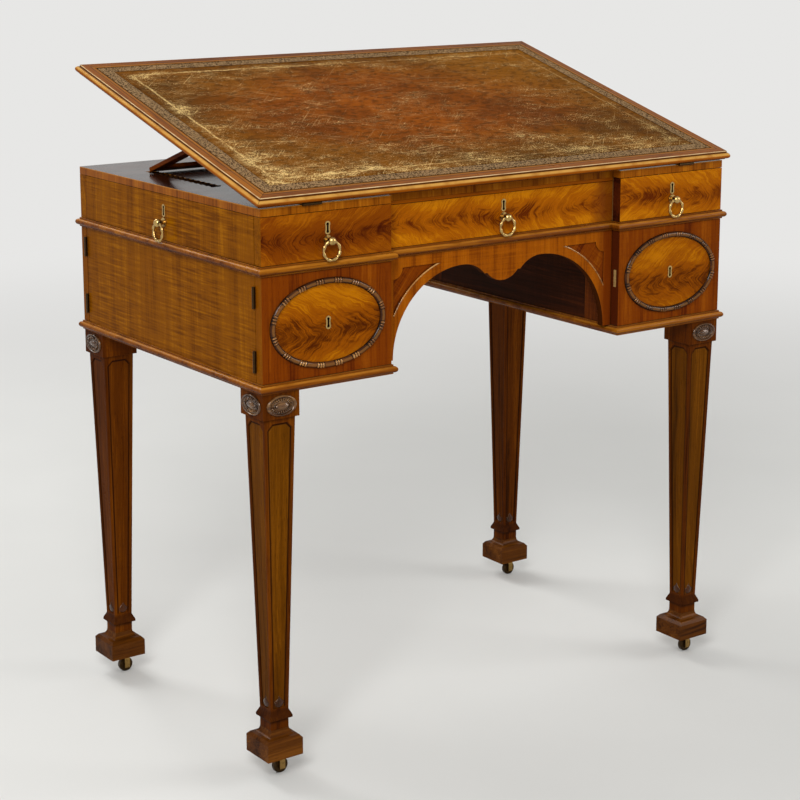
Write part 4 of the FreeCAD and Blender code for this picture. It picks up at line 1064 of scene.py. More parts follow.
@dataclass(frozen=True)
class TooledLeather:
    """Old brown leather with a stippled border band, rubbed pale where hands and boards lay."""

    half_width: float
    front: float
    rear: float
    margin: float = 1.6 * MM
    band_to: float = 21 * MM
    crease: float = 40 * MM
    red_half_x: float = 340 * MM
    red_half_y: float = 190 * MM
    red_y: float = 280 * MM
    name: str = "tooled_leather"

    def hide(self, bench: MaterialBench, flat: Socket) -> Socket:
        """Gives the hide's own colour: red in the middle, olive towards the edges, golden at the far right.

        Args:
            bench: The material.
            flat: The place on the slab.

        Returns:
            The colour.
        """
        x, y, _ = bench.split(flat)
        cloud = bench.stretched(flat, (5.5, 6.5, 1.0), 5.0, 0.6, 0.4)
        mottle = bench.stretched(flat, (60.0, 100.0, 1.0), 6.0, 0.65)
        off_x = bench.calc("POWER", bench.calc("DIVIDE", bench.calc("ABSOLUTE", x), self.red_half_x), 2.0)
        off_y = bench.calc("POWER", bench.calc("DIVIDE", bench.gap(y, self.red_y), self.red_half_y), 2.0)
        middle = bench.ease(bench.total(off_x, off_y, bench.weigh(cloud, 1.6)), 0.2, 1.3, 1.0, 0.0)
        shade = bench.ease(cloud, 0.34, 0.64)
        olive = bench.mix(shade, tint(78, 45, 9), tint(118, 70, 16))
        red = bench.mix(shade, tint(100, 48, 8), tint(140, 72, 14))
        golden = bench.times(bench.ease(x, 0.0, 340 * MM), bench.ease(y, 180 * MM, 460 * MM, 0.0, 0.7))
        colour = bench.mix(golden, bench.mix(middle, olive, red), tint(136, 84, 14))
        return bench.mix(bench.ease(mottle, 0.44, 0.66, 0.0, 0.66), colour, tint(56, 30, 7))

    def wear(self, bench: MaterialBench, flat: Socket, inset: Socket) -> tuple[Socket, Socket]:
        """Gives the rubbed flecks and the scratches.

        Args:
            bench: The material.
            flat: The place on the slab.
            inset: How far in from the leather's edge it is.

        Returns:
            The two masks.
        """
        x, y, _ = bench.split(flat)
        past = bench.calc("SUBTRACT", inset, self.band_to)
        patch = bench.stretched(flat, (12.0, 26.0, 1.0), 4.0, 0.6, 0.5)
        fleck = bench.stretched(flat, (70.0, 165.0, 1.0), 9.0, 0.78, 1.0)
        crumb = bench.stretched(flat, (420.0, 640.0, 1.0), 3.0, 0.6)
        dust = bench.stretched(flat, (520.0, 700.0, 1.0), 2.0, 0.7)
        rub_and_highlight = bench.total(
            bench.ease(past, 19 * MM, 54 * MM, 0.20, 0.0),
            bench.ease(x, 30 * MM - self.half_width, 240 * MM - self.half_width, 0.25, 0.0),
            bench.ease(y, self.front + 20 * MM, self.front + 190 * MM, 0.30, 0.0),
            bench.weigh(patch, 2.6),
        )
        worn = bench.total(bench.weigh(fleck, 2.7), bench.weigh(crumb, 2.6), bench.times(rub_and_highlight, 0.62))
        inside = bench.calc(
            "MAXIMUM",
            bench.ease(past, 4 * MM, 17 * MM, 0.22, 1.0),
            bench.ease(y, self.front + 30 * MM, self.front + 70 * MM, 1.0, 0.0),
        )
        inside = bench.times(inside, bench.ease(past, 0.0, 2 * MM))
        specks = bench.times(bench.ease(dust, 0.56, 0.70), bench.ease(rub_and_highlight, -0.35, 0.75, 0.05, 0.75))
        worn = bench.times(bench.calc("MAXIMUM", bench.ease(worn, 0.40, 0.84), specks), inside)
        scratch: Any = 0.0
        for turn, along, across in SCRATCHES:
            wanted = {"Vector": flat, "Rotation": (0.0, 0.0, turn)}
            turned = bench.add("ShaderNodeMapping", wanted).outputs[0]
            line = bench.stretched(turned, (along, across, 1.0), 3.0, 0.5, 0.3)
            scratch = bench.calc("MAXIMUM", scratch, bench.ease(line, 0.655, 0.72))
        return worn, bench.times(scratch, bench.ease(rub_and_highlight, -0.25, 0.75, 0.16, 0.8), inside)

    def fold(self, bench: MaterialBench, along: Socket, inset: Socket, x: Socket) -> Socket:
        """Gives the scuffed crease that runs inside the band, strongest at the left.

        Args:
            bench: The material.
            along: The place along the nearest edge and in from it.
            inset: How far in from the leather's edge it is.
            x: The place across the slab.

        Returns:
            The mask.
        """
        wobble = bench.weigh(bench.stretched(along, (26.0, 0.0, 1.0), 4.0, 0.6), 9 * MM)
        off = bench.gap(bench.calc("ADD", inset, wobble), self.crease)
        long_breaks = bench.ease(bench.stretched(along, (34.0, 1.0, 1.0), 3.0), 0.34, 0.56, 0.15, 1.0)
        scuffs = bench.ease(bench.stretched(along, (260.0, 420.0, 1.0), 3.0, 0.6), 0.38, 0.60, 0.12, 0.9)
        left = bench.ease(x, -250 * MM, 100 * MM, 1.0, 0.35)
        return bench.times(bench.ease(off, 0.7 * MM, 2.9 * MM, 1.0, 0.0), long_breaks, scuffs, left)

    def stipple(self, bench: MaterialBench, along: Socket) -> Socket:
        """Gives the pattern of the dots that are tooled into the band.

        Args:
            bench: The material.
            along: The place along the nearest edge and in from it.

        Returns:
            The pattern's value.
        """
        fine = bench.stretched(along, (640.0, 640.0, 1.0), 2.0, 0.6)
        cells = {"Vector": bench.stretch(along, 300.0, 300.0, 1.0), "Scale": 1.0, "Randomness": 0.6}
        cell = bench.add("ShaderNodeTexVoronoi", cells).outputs["Distance"]
        return bench.total(bench.weigh(fine, 1.5), bench.weigh(cell, 0.9, 0.42), 0.5)

    def lines(self, bench: MaterialBench, inset: Socket) -> Socket:
        """Gives the dark lines at the leather's edge and along both sides of the band.

        Args:
            bench: The material.
            inset: How far in from the leather's edge it is.

        Returns:
            The mask.
        """
        dark = bench.ease(inset, 0.4 * MM, 1.1 * MM, 0.9, 0.0)
        for place in (self.margin, self.band_to + 0.5 * MM):
            near = bench.ease(bench.gap(inset, place), 0.3 * MM, 0.9 * MM, 0.75, 0.0)
            dark = bench.calc("MAXIMUM", dark, near)
        return dark

    def material(self) -> bpy.types.Material:
        """Makes the material.

        Returns:
            The material.
        """
        bench = MaterialBench(self.name)
        flat = bench.on_slab()
        x, y, _ = bench.split(flat)
        to_side = bench.calc("SUBTRACT", self.half_width, bench.calc("ABSOLUTE", x))
        to_end = bench.within(y, self.front, self.rear)
        inset = bench.calc("MINIMUM", to_side, to_end)
        on_side = bench.calc("GREATER_THAN", to_end, to_side)
        along = bench.mix(on_side, bench.vector(x, inset), bench.vector(y, inset))

        worn, scratch = self.wear(bench, flat, inset)
        marks = bench.calc("MAXIMUM", scratch, self.fold(bench, along, inset, x))
        rubbed_and_highlit = bench.calc("MAXIMUM", bench.times(worn, 0.92), marks)
        colour = bench.mix(rubbed_and_highlit, self.hide(bench, flat), tint(232, 198, 130))

        dots = self.stipple(bench, along)
        tooled = bench.mix(bench.ease(dots, 0.36, 0.74), tint(34, 23, 15), tint(158, 128, 90))
        band = bench.times(
            bench.ease(inset, self.margin, self.margin + 1.0 * MM),
            bench.ease(inset, self.band_to - 1.5 * MM, self.band_to + 1.5 * MM, 1.0, 0.0),
        )
        plain = bench.ease(inset, self.margin - 0.8 * MM, self.margin, 0.75, 0.0)
        colour = bench.mix(plain, colour, tint(146, 92, 24))
        colour = bench.mix(bench.times(band, 0.85), colour, tooled)
        colour = bench.mix(self.lines(bench, inset), colour, tint(36, 20, 8))

        pebble = bench.add("ShaderNodeTexVoronoi", {"Vector": flat, "Scale": 750.0}).outputs["Distance"]
        height = bench.total(
            bench.times(pebble, 0.35), bench.times(band, bench.weigh(dots, 0.8)), bench.times(rubbed_and_highlit, -0.4)
        )
        dull = bench.total(bench.weigh(pebble, 0.2), bench.times(rubbed_and_highlit, 0.22), 0.46)
        gloss = {"Specular_IOR_Level": 0.004, "Specular_Tint": (1.0, 0.62, 0.28, 1.0)}
        return bench.surface(colour, dull, height, 0.18, **gloss)


PALE_BRASS = tint(188, 156, 96)
DARK_BRASS = tint(60, 44, 25)
BROWN_TARNISH = tint(44, 30, 16)


@dataclass(frozen=True)
class OldBrass:
    """Lacquered brass, bright where it is handled and brown in the hollows."""

    name: str
    bright: Colour
    brown: Colour
    rough: float = 0.24
    plate_x: float | None = None
    plate_half: float = 20 * MM
    strike_x: float = 217 * MM

    def material(self) -> bpy.types.Material:
        """Makes the material.

        Returns:
            The material.
        """
        bench = MaterialBench(self.name)
        age = bench.age(4 * MM)
        cloud = bench.noise(bench.spot, 240.0, 4.0, 0.6)
        speck = bench.noise(bench.spot, 1400.0, 2.0)
        dark = bench.total(bench.times(age["GrimeAndShade"], 0.9), bench.ease(cloud, 0.46, 0.70, 0.0, 0.45))
        metal: Any = self.bright
        shine: Any = 1.0
        if self.plate_x is not None:
            x = bench.split(bench.spot)[0]
            plate = bench.calc("LESS_THAN", bench.gap(x, self.plate_x), self.plate_half)
            strike = bench.calc("LESS_THAN", bench.calc("ABSOLUTE", x), self.strike_x)
            pale = bench.calc("MAXIMUM", plate, strike)
            metal = bench.mix(pale, self.bright, PALE_BRASS)
            shine = bench.ease(strike, 0.0, 1.0, 1.0, 0.35)
        colour = bench.mix(bench.calc("MINIMUM", dark, 0.95), metal, self.brown)
        dull = bench.total(bench.times(dark, 0.3), bench.weigh(speck, 0.12), self.rough)
        return bench.surface(colour, dull, speck, 0.02, Metallic=shine)


@dataclass(frozen=True)
class DarkHollow:
    """The unlit inside of a keyhole."""

    name: str = "keyhole_dark"

    def material(self) -> bpy.types.Material:
        """Makes the material.

        Returns:
            The material.
        """
        bench = MaterialBench(self.name)
        dust = bench.noise(bench.spot, 900.0, 3.0)
        colour = bench.mix(dust, tint(9, 6, 4), tint(24, 15, 9))
        dull = bench.ease(dust, 0.0, 1.0, 0.7, 0.95)
        return bench.surface(colour, dull, dust, 0.05, Specular_IOR_Level=0.0)


def seen_directly(bench: NodeBench) -> Socket:
    """Says where a ray comes from the camera or from a mirror or glass, and not from lit wood.

    Args:
        bench: The material or world.

    Returns:
        The mask.
    """
    path = bench.add("ShaderNodeLightPath").outputs
    mirrored = bench.calc("MAXIMUM", path["Is Glossy Ray"], path["Is Transmission Ray"])
    return bench.calc("MAXIMUM", path["Is Camera Ray"], mirrored)


@dataclass(frozen=True)
class StudioFloor:
    """A pale floor that fades into an equally pale surround."""

    name: str = "studio_floor"
    fade_from: float = 1.0
    fade_to: float = 4.0

    def material(self) -> bpy.types.Material:
        """Makes the material.

        Returns:
            The material.
        """
        bench = MaterialBench(self.name)
        cloud = bench.noise(bench.spot, 3.0, 4.0)
        colour = bench.mix(cloud, tint(214, 214, 211), tint(221, 221, 218))
        bench.surface(colour, bench.ease(cloud, 0.0, 1.0, 0.72, 0.84), cloud, 0.2)
        end = next(node for node in bench.tree.nodes if node.type == "OUTPUT_MATERIAL")
        near = end.inputs["Surface"].links[0].from_socket
        far = bench.add("ShaderNodeEmission", {"Color": SURROUND, "Strength": SURROUND_LEVEL}).outputs[0]
        reach = bench.add("ShaderNodeVectorMath", {0: bench.spot}, operation="LENGTH").outputs["Value"]
        fade = bench.times(bench.ease(reach, self.fade_from, self.fade_to), seen_directly(bench))
        both = bench.add("ShaderNodeMixShader", {0: fade, 1: near, 2: far}).outputs[0]
        bench.tree.links.new(both, end.inputs["Surface"])
        return bench.material


# Modelling


def begin(add: Callable[..., set[str]], name: str, **settings: Any) -> bpy.types.Object:
    """Adds a primitive with nothing else selected.

    Args:
        add: The primitive's operator.
        name: The new object's name.
        settings: The operator's settings.

    Returns:
        The new object, active and selected.
    """
    bpy.ops.object.select_all(action="DESELECT")
    add(**settings)
    piece = bpy.context.active_object
    piece.name = piece.data.name = name
    return piece


def choose(*pieces: bpy.types.Object) -> None:
    """Selects these pieces and no others, and makes the first of them active.

    Args:
        pieces: The pieces.
    """
    bpy.ops.object.select_all(action="DESELECT")
    for piece in pieces:
        piece.select_set(True)
    bpy.context.view_layer.objects.active = pieces[0]


@contextmanager
def editing(piece: bpy.types.Object, parts: str) -> Iterator[bpy.types.Object]:
    """Opens a piece in edit mode with nothing selected.

    Args:
        piece: The object.
        parts: What is selected in it: VERT, EDGE or FACE.

    Yields:
        The piece.
    """
    choose(piece)
    bpy.ops.object.mode_set(mode="EDIT")
    bpy.ops.mesh.select_mode(type=parts)
    bpy.ops.mesh.select_all(action="DESELECT")
    yield piece
    bpy.ops.object.mode_set(mode="OBJECT")


def pick_points(piece: bpy.types.Object, test: Callable[[Vector], bool]) -> None:
    """Selects the points in edit mode whose place passes the test, and no others.

    Args:
        piece: The piece in edit mode.
        test: Says of a place if its point is wanted.
    """
    mesh = bmesh.from_edit_mesh(piece.data)
    for point in mesh.verts:
        point.select_set(test(point.co))
    mesh.select_flush_mode()
    bmesh.update_edit_mesh(piece.data)


def set_place(piece: bpy.types.Object) -> None:
    """Moves a piece's place, turn and scale into its mesh."""
    choose(piece)
    bpy.ops.object.transform_apply(location=True, rotation=True, scale=True)


def copy_to(pattern: bpy.types.Object, name: str, place: Matrix) -> bpy.types.Object:
    """Copies a piece with a mesh of its own.

    Args:
        pattern: The piece that is copied.
        name: The copy's name.
        place: Where the copy's mesh goes.

    Returns:
        The copy, at the origin.
    """
    mesh = pattern.data.copy()
    mesh.name = name
    mesh.transform(place)
    if place.determinant() < 0:
        mesh.flip_normals()
    piece = bpy.data.objects.new(name, mesh)
    bpy.context.scene.collection.objects.link(piece)
    return piece


def join(pieces: list[bpy.types.Object], name: str) -> bpy.types.Object:
    """Joins pieces into one object.

    Args:
        pieces: The pieces, of which the first takes the others in.
        name: The whole object's name.

    Returns:
        The whole object.
    """
    choose(*pieces)
    bpy.ops.object.join()
    pieces[0].name = pieces[0].data.name = name
    return pieces[0]


def discard(piece: bpy.types.Object) -> None:
    """Removes a pattern that has been copied."""
    bpy.data.objects.remove(piece, do_unlink=True)


def settle(
    piece: bpy.types.Object, body: str, slot: str, material: bpy.types.Material, *nodes: str
) -> None:
    """Finishes a new piece: smooth shading, its material, its body and what it stands for.

    Args:
        piece: The piece, in place.
        body: The CAD body that it moves with.
        slot: The name of a material slot; not used.
        material: Its material.
        nodes: The CAD nodes that it replaces.
    """
    choose(piece)
    bpy.ops.object.shade_smooth_by_angle(angle=SMOOTH_ANGLE)
    piece.data.materials.clear()
    piece.data.materials.append(material)
    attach(piece, body)
    if nodes:
        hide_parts(*nodes)
    log.info("%s: %d faces on %s", piece.name, len(piece.data.polygons), body)


def dress(names: Iterable[str], material: bpy.types.Material, care: EdgeCare, ease: float = 0.5) -> None:
    """Gives CAD nodes their material and edges.

    Args:
        names: The nodes.
        material: Their material.
        care: How their edges are finished.
        ease: The width of an eased edge in millimetres.
    """
    for name in names:
        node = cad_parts[name]
        node.data.materials.clear()
        node.data.materials.append(material)
        if care is not EdgeCare.SAWN:
            node.data.polygons.foreach_set("use_smooth", [True] * len(node.data.polygons))
            node.modifiers.new("weld", "WELD").merge_threshold = WELD_DISTANCE
        if care is EdgeCare.EASED:
            bevel = node.modifiers.new("eased_edges", "BEVEL")
            bevel.width, bevel.segments = ease * MM, 2
            bevel.limit_method, bevel.angle_limit = "ANGLE", EASED_ANGLE
            bevel.use_clamp_overlap = False
            node.modifiers.new("flat_faces", "WEIGHTED_NORMAL").keep_sharp = False
        elif care is EdgeCare.MOULDED:
            split = node.modifiers.new("crisp_lines", "EDGE_SPLIT")
            split.split_angle, split.use_edge_sharp = CRISP_ANGLE, False
        log.info("%s: %s, %s", name, material.name, care.value)


def middle_of(node: str) -> Vector:
    """Gives the middle of a CAD node's box."""
    low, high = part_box(node)
    return (Vector(low) + Vector(high)) / 2


# Sub-assemblies


@dataclass
class Carcase:
    """The case: sides, boards, mouldings, top and the kneehole arches."""

    def dress(self, brass: bpy.types.Material, lining: bpy.types.Material) -> None:
        """Gives each wooden part of the case its finish.

        Args:
            brass: The finish of the hinge leaves.
            lining: The finish of the hidden boards.
        """
        sides = Veneer("rippled_sides", GOLDEN, GrainAxis.Z, ripple=0.44, pores=0.45, bands=0.75).material()
        dress(["outer_sides"], sides, EdgeCare.EASED, 0.4)
        low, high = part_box("inner_sides")
        dress(["inner_sides"], CheekWood(low[1], high[1]).material(), EdgeCare.EASED, 0.4)
        moulding = MouldedWood("moulded_lines", MOULDING).material()
        dress(["base_mouldings", "waist_moulding"], moulding, EdgeCare.MOULDED)
        low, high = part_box("kneehole_arches")
        dress(["kneehole_arches"], ArchVeneer(low[1], high[1], high[0]).material(), EdgeCare.EASED, 0.6)
        rear = DrawerVeneer("rear_frieze_veneer", middle_of("rear_frieze"), 1.1, 7.0, edge=GOLDEN)
        dress(["rear_frieze"], rear.material(), EdgeCare.EASED, 0.4)
        low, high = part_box("case_top")
        dress(["case_top"], PolishedTop(low[1], high[2]).material(), EdgeCare.EASED, 0.4)
        rail = Veneer("centre_rail_wood", APRON, GrainAxis.X, pores=0.4).material()
        dress(["centre_rail"], rail, EdgeCare.EASED, 0.4)
        board = Veneer("waist_board_wood", DEEP, GrainAxis.X).material()
        dress(["waist_board"], board, EdgeCare.SAWN)
        dress(["inner_boards"], lining, EdgeCare.SAWN)
        dress(["case_hinge_leaves"], brass, EdgeCare.MOULDED)
        ratchet = Veneer("ratchet_wood", CARVED, GrainAxis.Y, rough=0.4, polish=Polish(0.0)).material()
        dress(["ratchet_strips"], ratchet, EdgeCare.SAWN)


@dataclass
class SpandrelBeads:
    """The slim rounded bead along the lower edge of each sunk spandrel, coloured pale as a painted
    highlight.
    """

    centre_x: float = 72.5 * MM
    centre_z: float = 577 * MM
    radius: float = 139.5 * MM
    bead: float = 1.1 * MM
    outer_x: float = 196.5 * MM
    top_z: float = 709 * MM

    def model(self) -> bpy.types.Object:
        """Models the left bead in the plane y 0, round the arch's centre line.

        Returns:
            The bead.
        """
        bead = begin(
            bpy.ops.mesh.primitive_torus_add, "spandrel_bead", major_segments=144, minor_segments=10,
            major_radius=self.radius, minor_radius=self.bead, rotation=(math.pi / 2, 0.0, 0.0),
            location=(-self.centre_x, 0.0, self.centre_z),
        )
        set_place(bead)
        foot_z = self.centre_z + math.sqrt(self.radius ** 2 - (self.outer_x - self.centre_x) ** 2)
        cuts = (
            ((0, 0, foot_z), (0, 0, -1)),
            ((0, 0, self.top_z), (0, 0, 1)),
            ((-self.centre_x, 0, 0), (1, 0, 0)),
        )
        with editing(bead, "VERT"):
            for spot, out in cuts:
                bpy.ops.mesh.select_all(action="SELECT")
                bpy.ops.mesh.bisect(plane_co=spot, plane_no=out, clear_outer=True, use_fill=True)
        return bead

    def place(self, wood: bpy.types.Material) -> None:
        """Sets a bead on both spandrels of both arches.

        Args:
            wood: The beads' finish.
        """
        low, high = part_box("kneehole_arches")
        pattern = self.model()
        copies = []
        for face in (low[1], high[1]):
            for side in (1.0, -1.0):
                spot = Matrix.Translation((0.0, face, 0.0)) @ Matrix.Diagonal((side, 1.0, 1.0, 1.0))
                copies.append(copy_to(pattern, "spandrel_bead_copy", spot))
        discard(pattern)
        settle(join(copies, "spandrel_beads"), "case", "mahogany", wood)


@dataclass
class Legs:
    """The four legs with their feet, carved ovals and leaves."""

    half_block: float = 29.25 * MM
    patera_z: float = 545.25 * MM
    half_long: float = 24 * MM
    half_tall: float = 14.5 * MM
    reeds: int = 26
    shaft_foot: float = 99.75 * MM
    shaft_half_foot: float = 14.75 * MM
    shaft_half_top: float = 24.8 * MM
    shaft_top: float = 527 * MM
    panel_depth: float = 1.6 * MM
    leaf_tall: float = 17 * MM
    leaf_half: float = 8 * MM
    leaf_up: float = 4 * MM

    def dress(self) -> None:
        """Gives the legs and feet their finish."""
        names = [f"leg_{end}_{side}" for end, side in CORNERS]
        first, last = middle_of("leg_front_right"), middle_of("leg_rear_right")
        shape = (
            first.x, (first.y + last.y) / 2, (last.y - first.y) / 2,
            self.shaft_half_foot, self.shaft_half_top, self.shaft_foot, self.shaft_top,
        )
        dress(names[:2], LegWood(*shape).material(), EdgeCare.EASED, 0.6)
        # The rear legs take the darker panel tones as painted shade.
        dress(names[2:], LegWood(*shape, SHADED_REAR_FIELD, "rear_leg_shaded_mahogany").material(), EdgeCare.EASED, 0.6)
        foot = Veneer(
            "foot_mahogany", FOOT, GrainAxis.X, pores=0.6, shift=(0.2, 0.1, 0.0), rough=0.24,
            polish=Polish(0.08, 0.06, 0.015),
        ).material()
        dress(["plinth_feet"], foot, EdgeCare.MOULDED)

    def carve_patera(self) -> bpy.types.Object:
        """Models one carved oval, flat on the XY plane at the origin: rim, sunk ring, reeds and bud.

        Returns:
            The oval.
        """
        dish = begin(bpy.ops.mesh.primitive_circle_add, "patera", vertices=48, radius=1.0, fill_type="NGON")
        steps = (
            (0.0, 1.1), (0.035, 1.2), (0.04, 0.5), (0.05, 0.0),
            (0.045, -0.7), (0.04, -1.1), (0.26, -0.1), (0.2, 0.5),
        )
        with editing(dish, "FACE"):
            bpy.ops.mesh.select_all(action="SELECT")
            for inward, rise in steps:
                if inward:
                    bpy.ops.mesh.inset(thickness=inward)
                    bpy.ops.transform.translate(value=(0.0, 0.0, rise * MM))
                else:
                    lift = {"value": (0.0, 0.0, rise * MM)}
                    bpy.ops.mesh.extrude_region_move(TRANSFORM_OT_translate=lift)
        reed = begin(bpy.ops.mesh.primitive_uv_sphere_add, "reed", segments=8, ring_count=6, radius=1.0)
        with editing(reed, "VERT"):
            bpy.ops.mesh.select_all(action="SELECT")
            bpy.ops.mesh.bisect(plane_co=(0, 0, -0.3), plane_no=(0, 0, 1), clear_inner=True, use_fill=True)
            pick_points(reed, lambda spot: spot.x < 0.2)
            bpy.ops.transform.resize(value=(1.0, 0.6, 0.8))
        parts = [dish]
        size = Matrix.Diagonal((0.15, 0.075, 1.5 * MM, 1.0))
        for number in range(self.reeds):
            turn = Matrix.Rotation(math.tau * number / self.reeds, 4, "Z")
            parts.append(copy_to(reed, "reed_copy", turn @ Matrix.Translation((0.60, 0, 2.1 * MM)) @ size))
        discard(reed)
        bud = begin(bpy.ops.mesh.primitive_uv_sphere_add, "bud", segments=20, ring_count=10, radius=1.0)
        with editing(bud, "VERT"):
            bpy.ops.mesh.select_all(action="SELECT")
            bpy.ops.mesh.bisect(plane_co=(0, 0, -0.2), plane_no=(0, 0, 1), clear_inner=True, use_fill=True)
            pick_points(bud, lambda spot: abs(spot.y) < 0.06 and spot.z > 0.3)
            bpy.ops.transform.translate(value=(0.0, 0.0, 0.22))
        size = Matrix.Diagonal((0.44, 0.30, 2.2 * MM, 1.0))
        parts.append(copy_to(bud, "bud_copy", Matrix.Translation((0, 0, 1.9 * MM)) @ size))
        discard(bud)
        whole = join(parts, "patera")
        whole.data.transform(Matrix.Diagonal((self.half_long, self.half_tall, 1.0, 1.0)))
        return whole

    def place_paterae(self, carved: bpy.types.Material) -> None:
        """Sets a carved oval on the two outer faces of each leg block.

        Args:
            carved: The ovals' finish.
        """
        pattern = self.carve_patera()
        stand = Matrix.Rotation(math.pi / 2, 4, "X")
        copies = []
        for end, side in CORNERS:
            middle = middle_of(f"leg_{end}_{side}")
            middle.z = self.patera_z
            out_y = Vector((0.0, -1.0 if end == "front" else 1.0, 0.0))
            out_x = Vector((-1.0 if side == "left" else 1.0, 0.0, 0.0))
            for out in (out_y, out_x):
                face = Matrix.Rotation(math.atan2(out.x, -out.y), 4, "Z")
                spot = Matrix.Translation(middle + out * self.half_block)
                copies.append(copy_to(pattern, "patera_copy", spot @ face @ stand))
        discard(pattern)
        settle(join(copies, "carved_paterae"), "case", "carved_wood", carved, "leg_paterae")

    def carve_leaf(self) -> bpy.types.Object:
        """Models one small pointed leaf, standing on the XZ plane with its back at y 0.

        Returns:
            The leaf.
        """
        leaf = begin(bpy.ops.mesh.primitive_uv_sphere_add, "leaf", segments=16, ring_count=10, radius=1.0)
        with editing(leaf, "VERT"):
            bpy.ops.mesh.select_all(action="SELECT")
            bpy.ops.mesh.bisect(plane_co=(0, 0.1, 0), plane_no=(0, 1, 0), clear_outer=True, use_fill=True)
            for height in (0.2, 0.5, 0.75):
                pick_points(leaf, lambda spot, level=height: spot.z > level)
                bpy.ops.transform.resize(value=(0.62, 0.85, 1.0), center_override=(0, 0, 0))
            pick_points(leaf, lambda spot: abs(spot.x) < 0.08 and spot.y < -0.2)
            bpy.ops.transform.translate(value=(0.0, -0.3, 0.0))
        size = Matrix.Diagonal((self.leaf_half, 1.5 * MM, self.leaf_tall / 2, 1.0))
        leaf.data.transform(Matrix.Translation((0, 0, self.leaf_tall / 2)) @ size)
        return leaf

    def place_leaves(self, carved: bpy.types.Material) -> None:
        """Sets a leaf at the foot of every sunk leg panel.

        Args:
            carved: The leaves' finish.
        """
        pattern = self.carve_leaf()
        lean = math.atan((self.shaft_half_top - self.shaft_half_foot) / (self.shaft_top - self.shaft_foot))
        out = Matrix.Translation((0.0, self.panel_depth - self.shaft_half_foot, 0.0))
        on_panel = out @ Matrix.Rotation(lean, 4, "X")
        copies = []
        for end, side in CORNERS:
            middle = middle_of(f"leg_{end}_{side}")
            foot = Matrix.Translation((middle.x, middle.y, self.shaft_foot + self.leaf_up))
            for quarter in range(4):
                turn = Matrix.Rotation(quarter * math.pi / 2, 4, "Z")
                copies.append(copy_to(pattern, "leaf_copy", foot @ turn @ on_panel))
        discard(pattern)
        settle(join(copies, "leg_leaves"), "case", "carved_wood", carved)


@dataclass
class Keyholes:
    """The dark keyholes inside the brass rims."""

    radius: float = 2.3 * MM
    drop: float = 10.2 * MM
    proud: float = 0.3 * MM

    def model(self) -> bpy.types.Object:
        """Models one keyhole's dark inside on the XZ plane, its round end at the origin.

        Returns:
            The keyhole.
        """
        hole = begin(
            bpy.ops.mesh.primitive_circle_add, "keyhole", vertices=24, radius=self.radius, fill_type="NGON",
            rotation=(math.pi / 2, 0.0, 0.0),
        )
        set_place(hole)
        with editing(hole, "VERT"):
            pick_points(hole, lambda spot: spot.z < -0.01 * self.radius)
            bpy.ops.transform.translate(value=(0.0, 0.0, -self.drop))
            bpy.ops.mesh.select_all(action="SELECT")
            bpy.ops.mesh.extrude_region_move(TRANSFORM_OT_translate={"value": (0.0, -self.proud, 0.0)})
            bpy.ops.mesh.select_all(action="SELECT")
            bpy.ops.mesh.normals_make_consistent(inside=False)
        return hole

    def place(self, spots: dict[str, tuple[Vector, float]], dark: bpy.types.Material) -> None:
        """Copies the keyhole to each drawer and door.

        Args:
            spots: For each body, its keyhole's round end on the wood and the turn about Z to face outwards.
            dark: The finish.
        """
        pattern = self.model()
        for body, (spot, turn) in spots.items():
            place = Matrix.Translation(spot) @ Matrix.Rotation(turn, 4, "Z")
            settle(copy_to(pattern, f"{body}_keyhole", place), body, "brass", dark)
        discard(pattern)


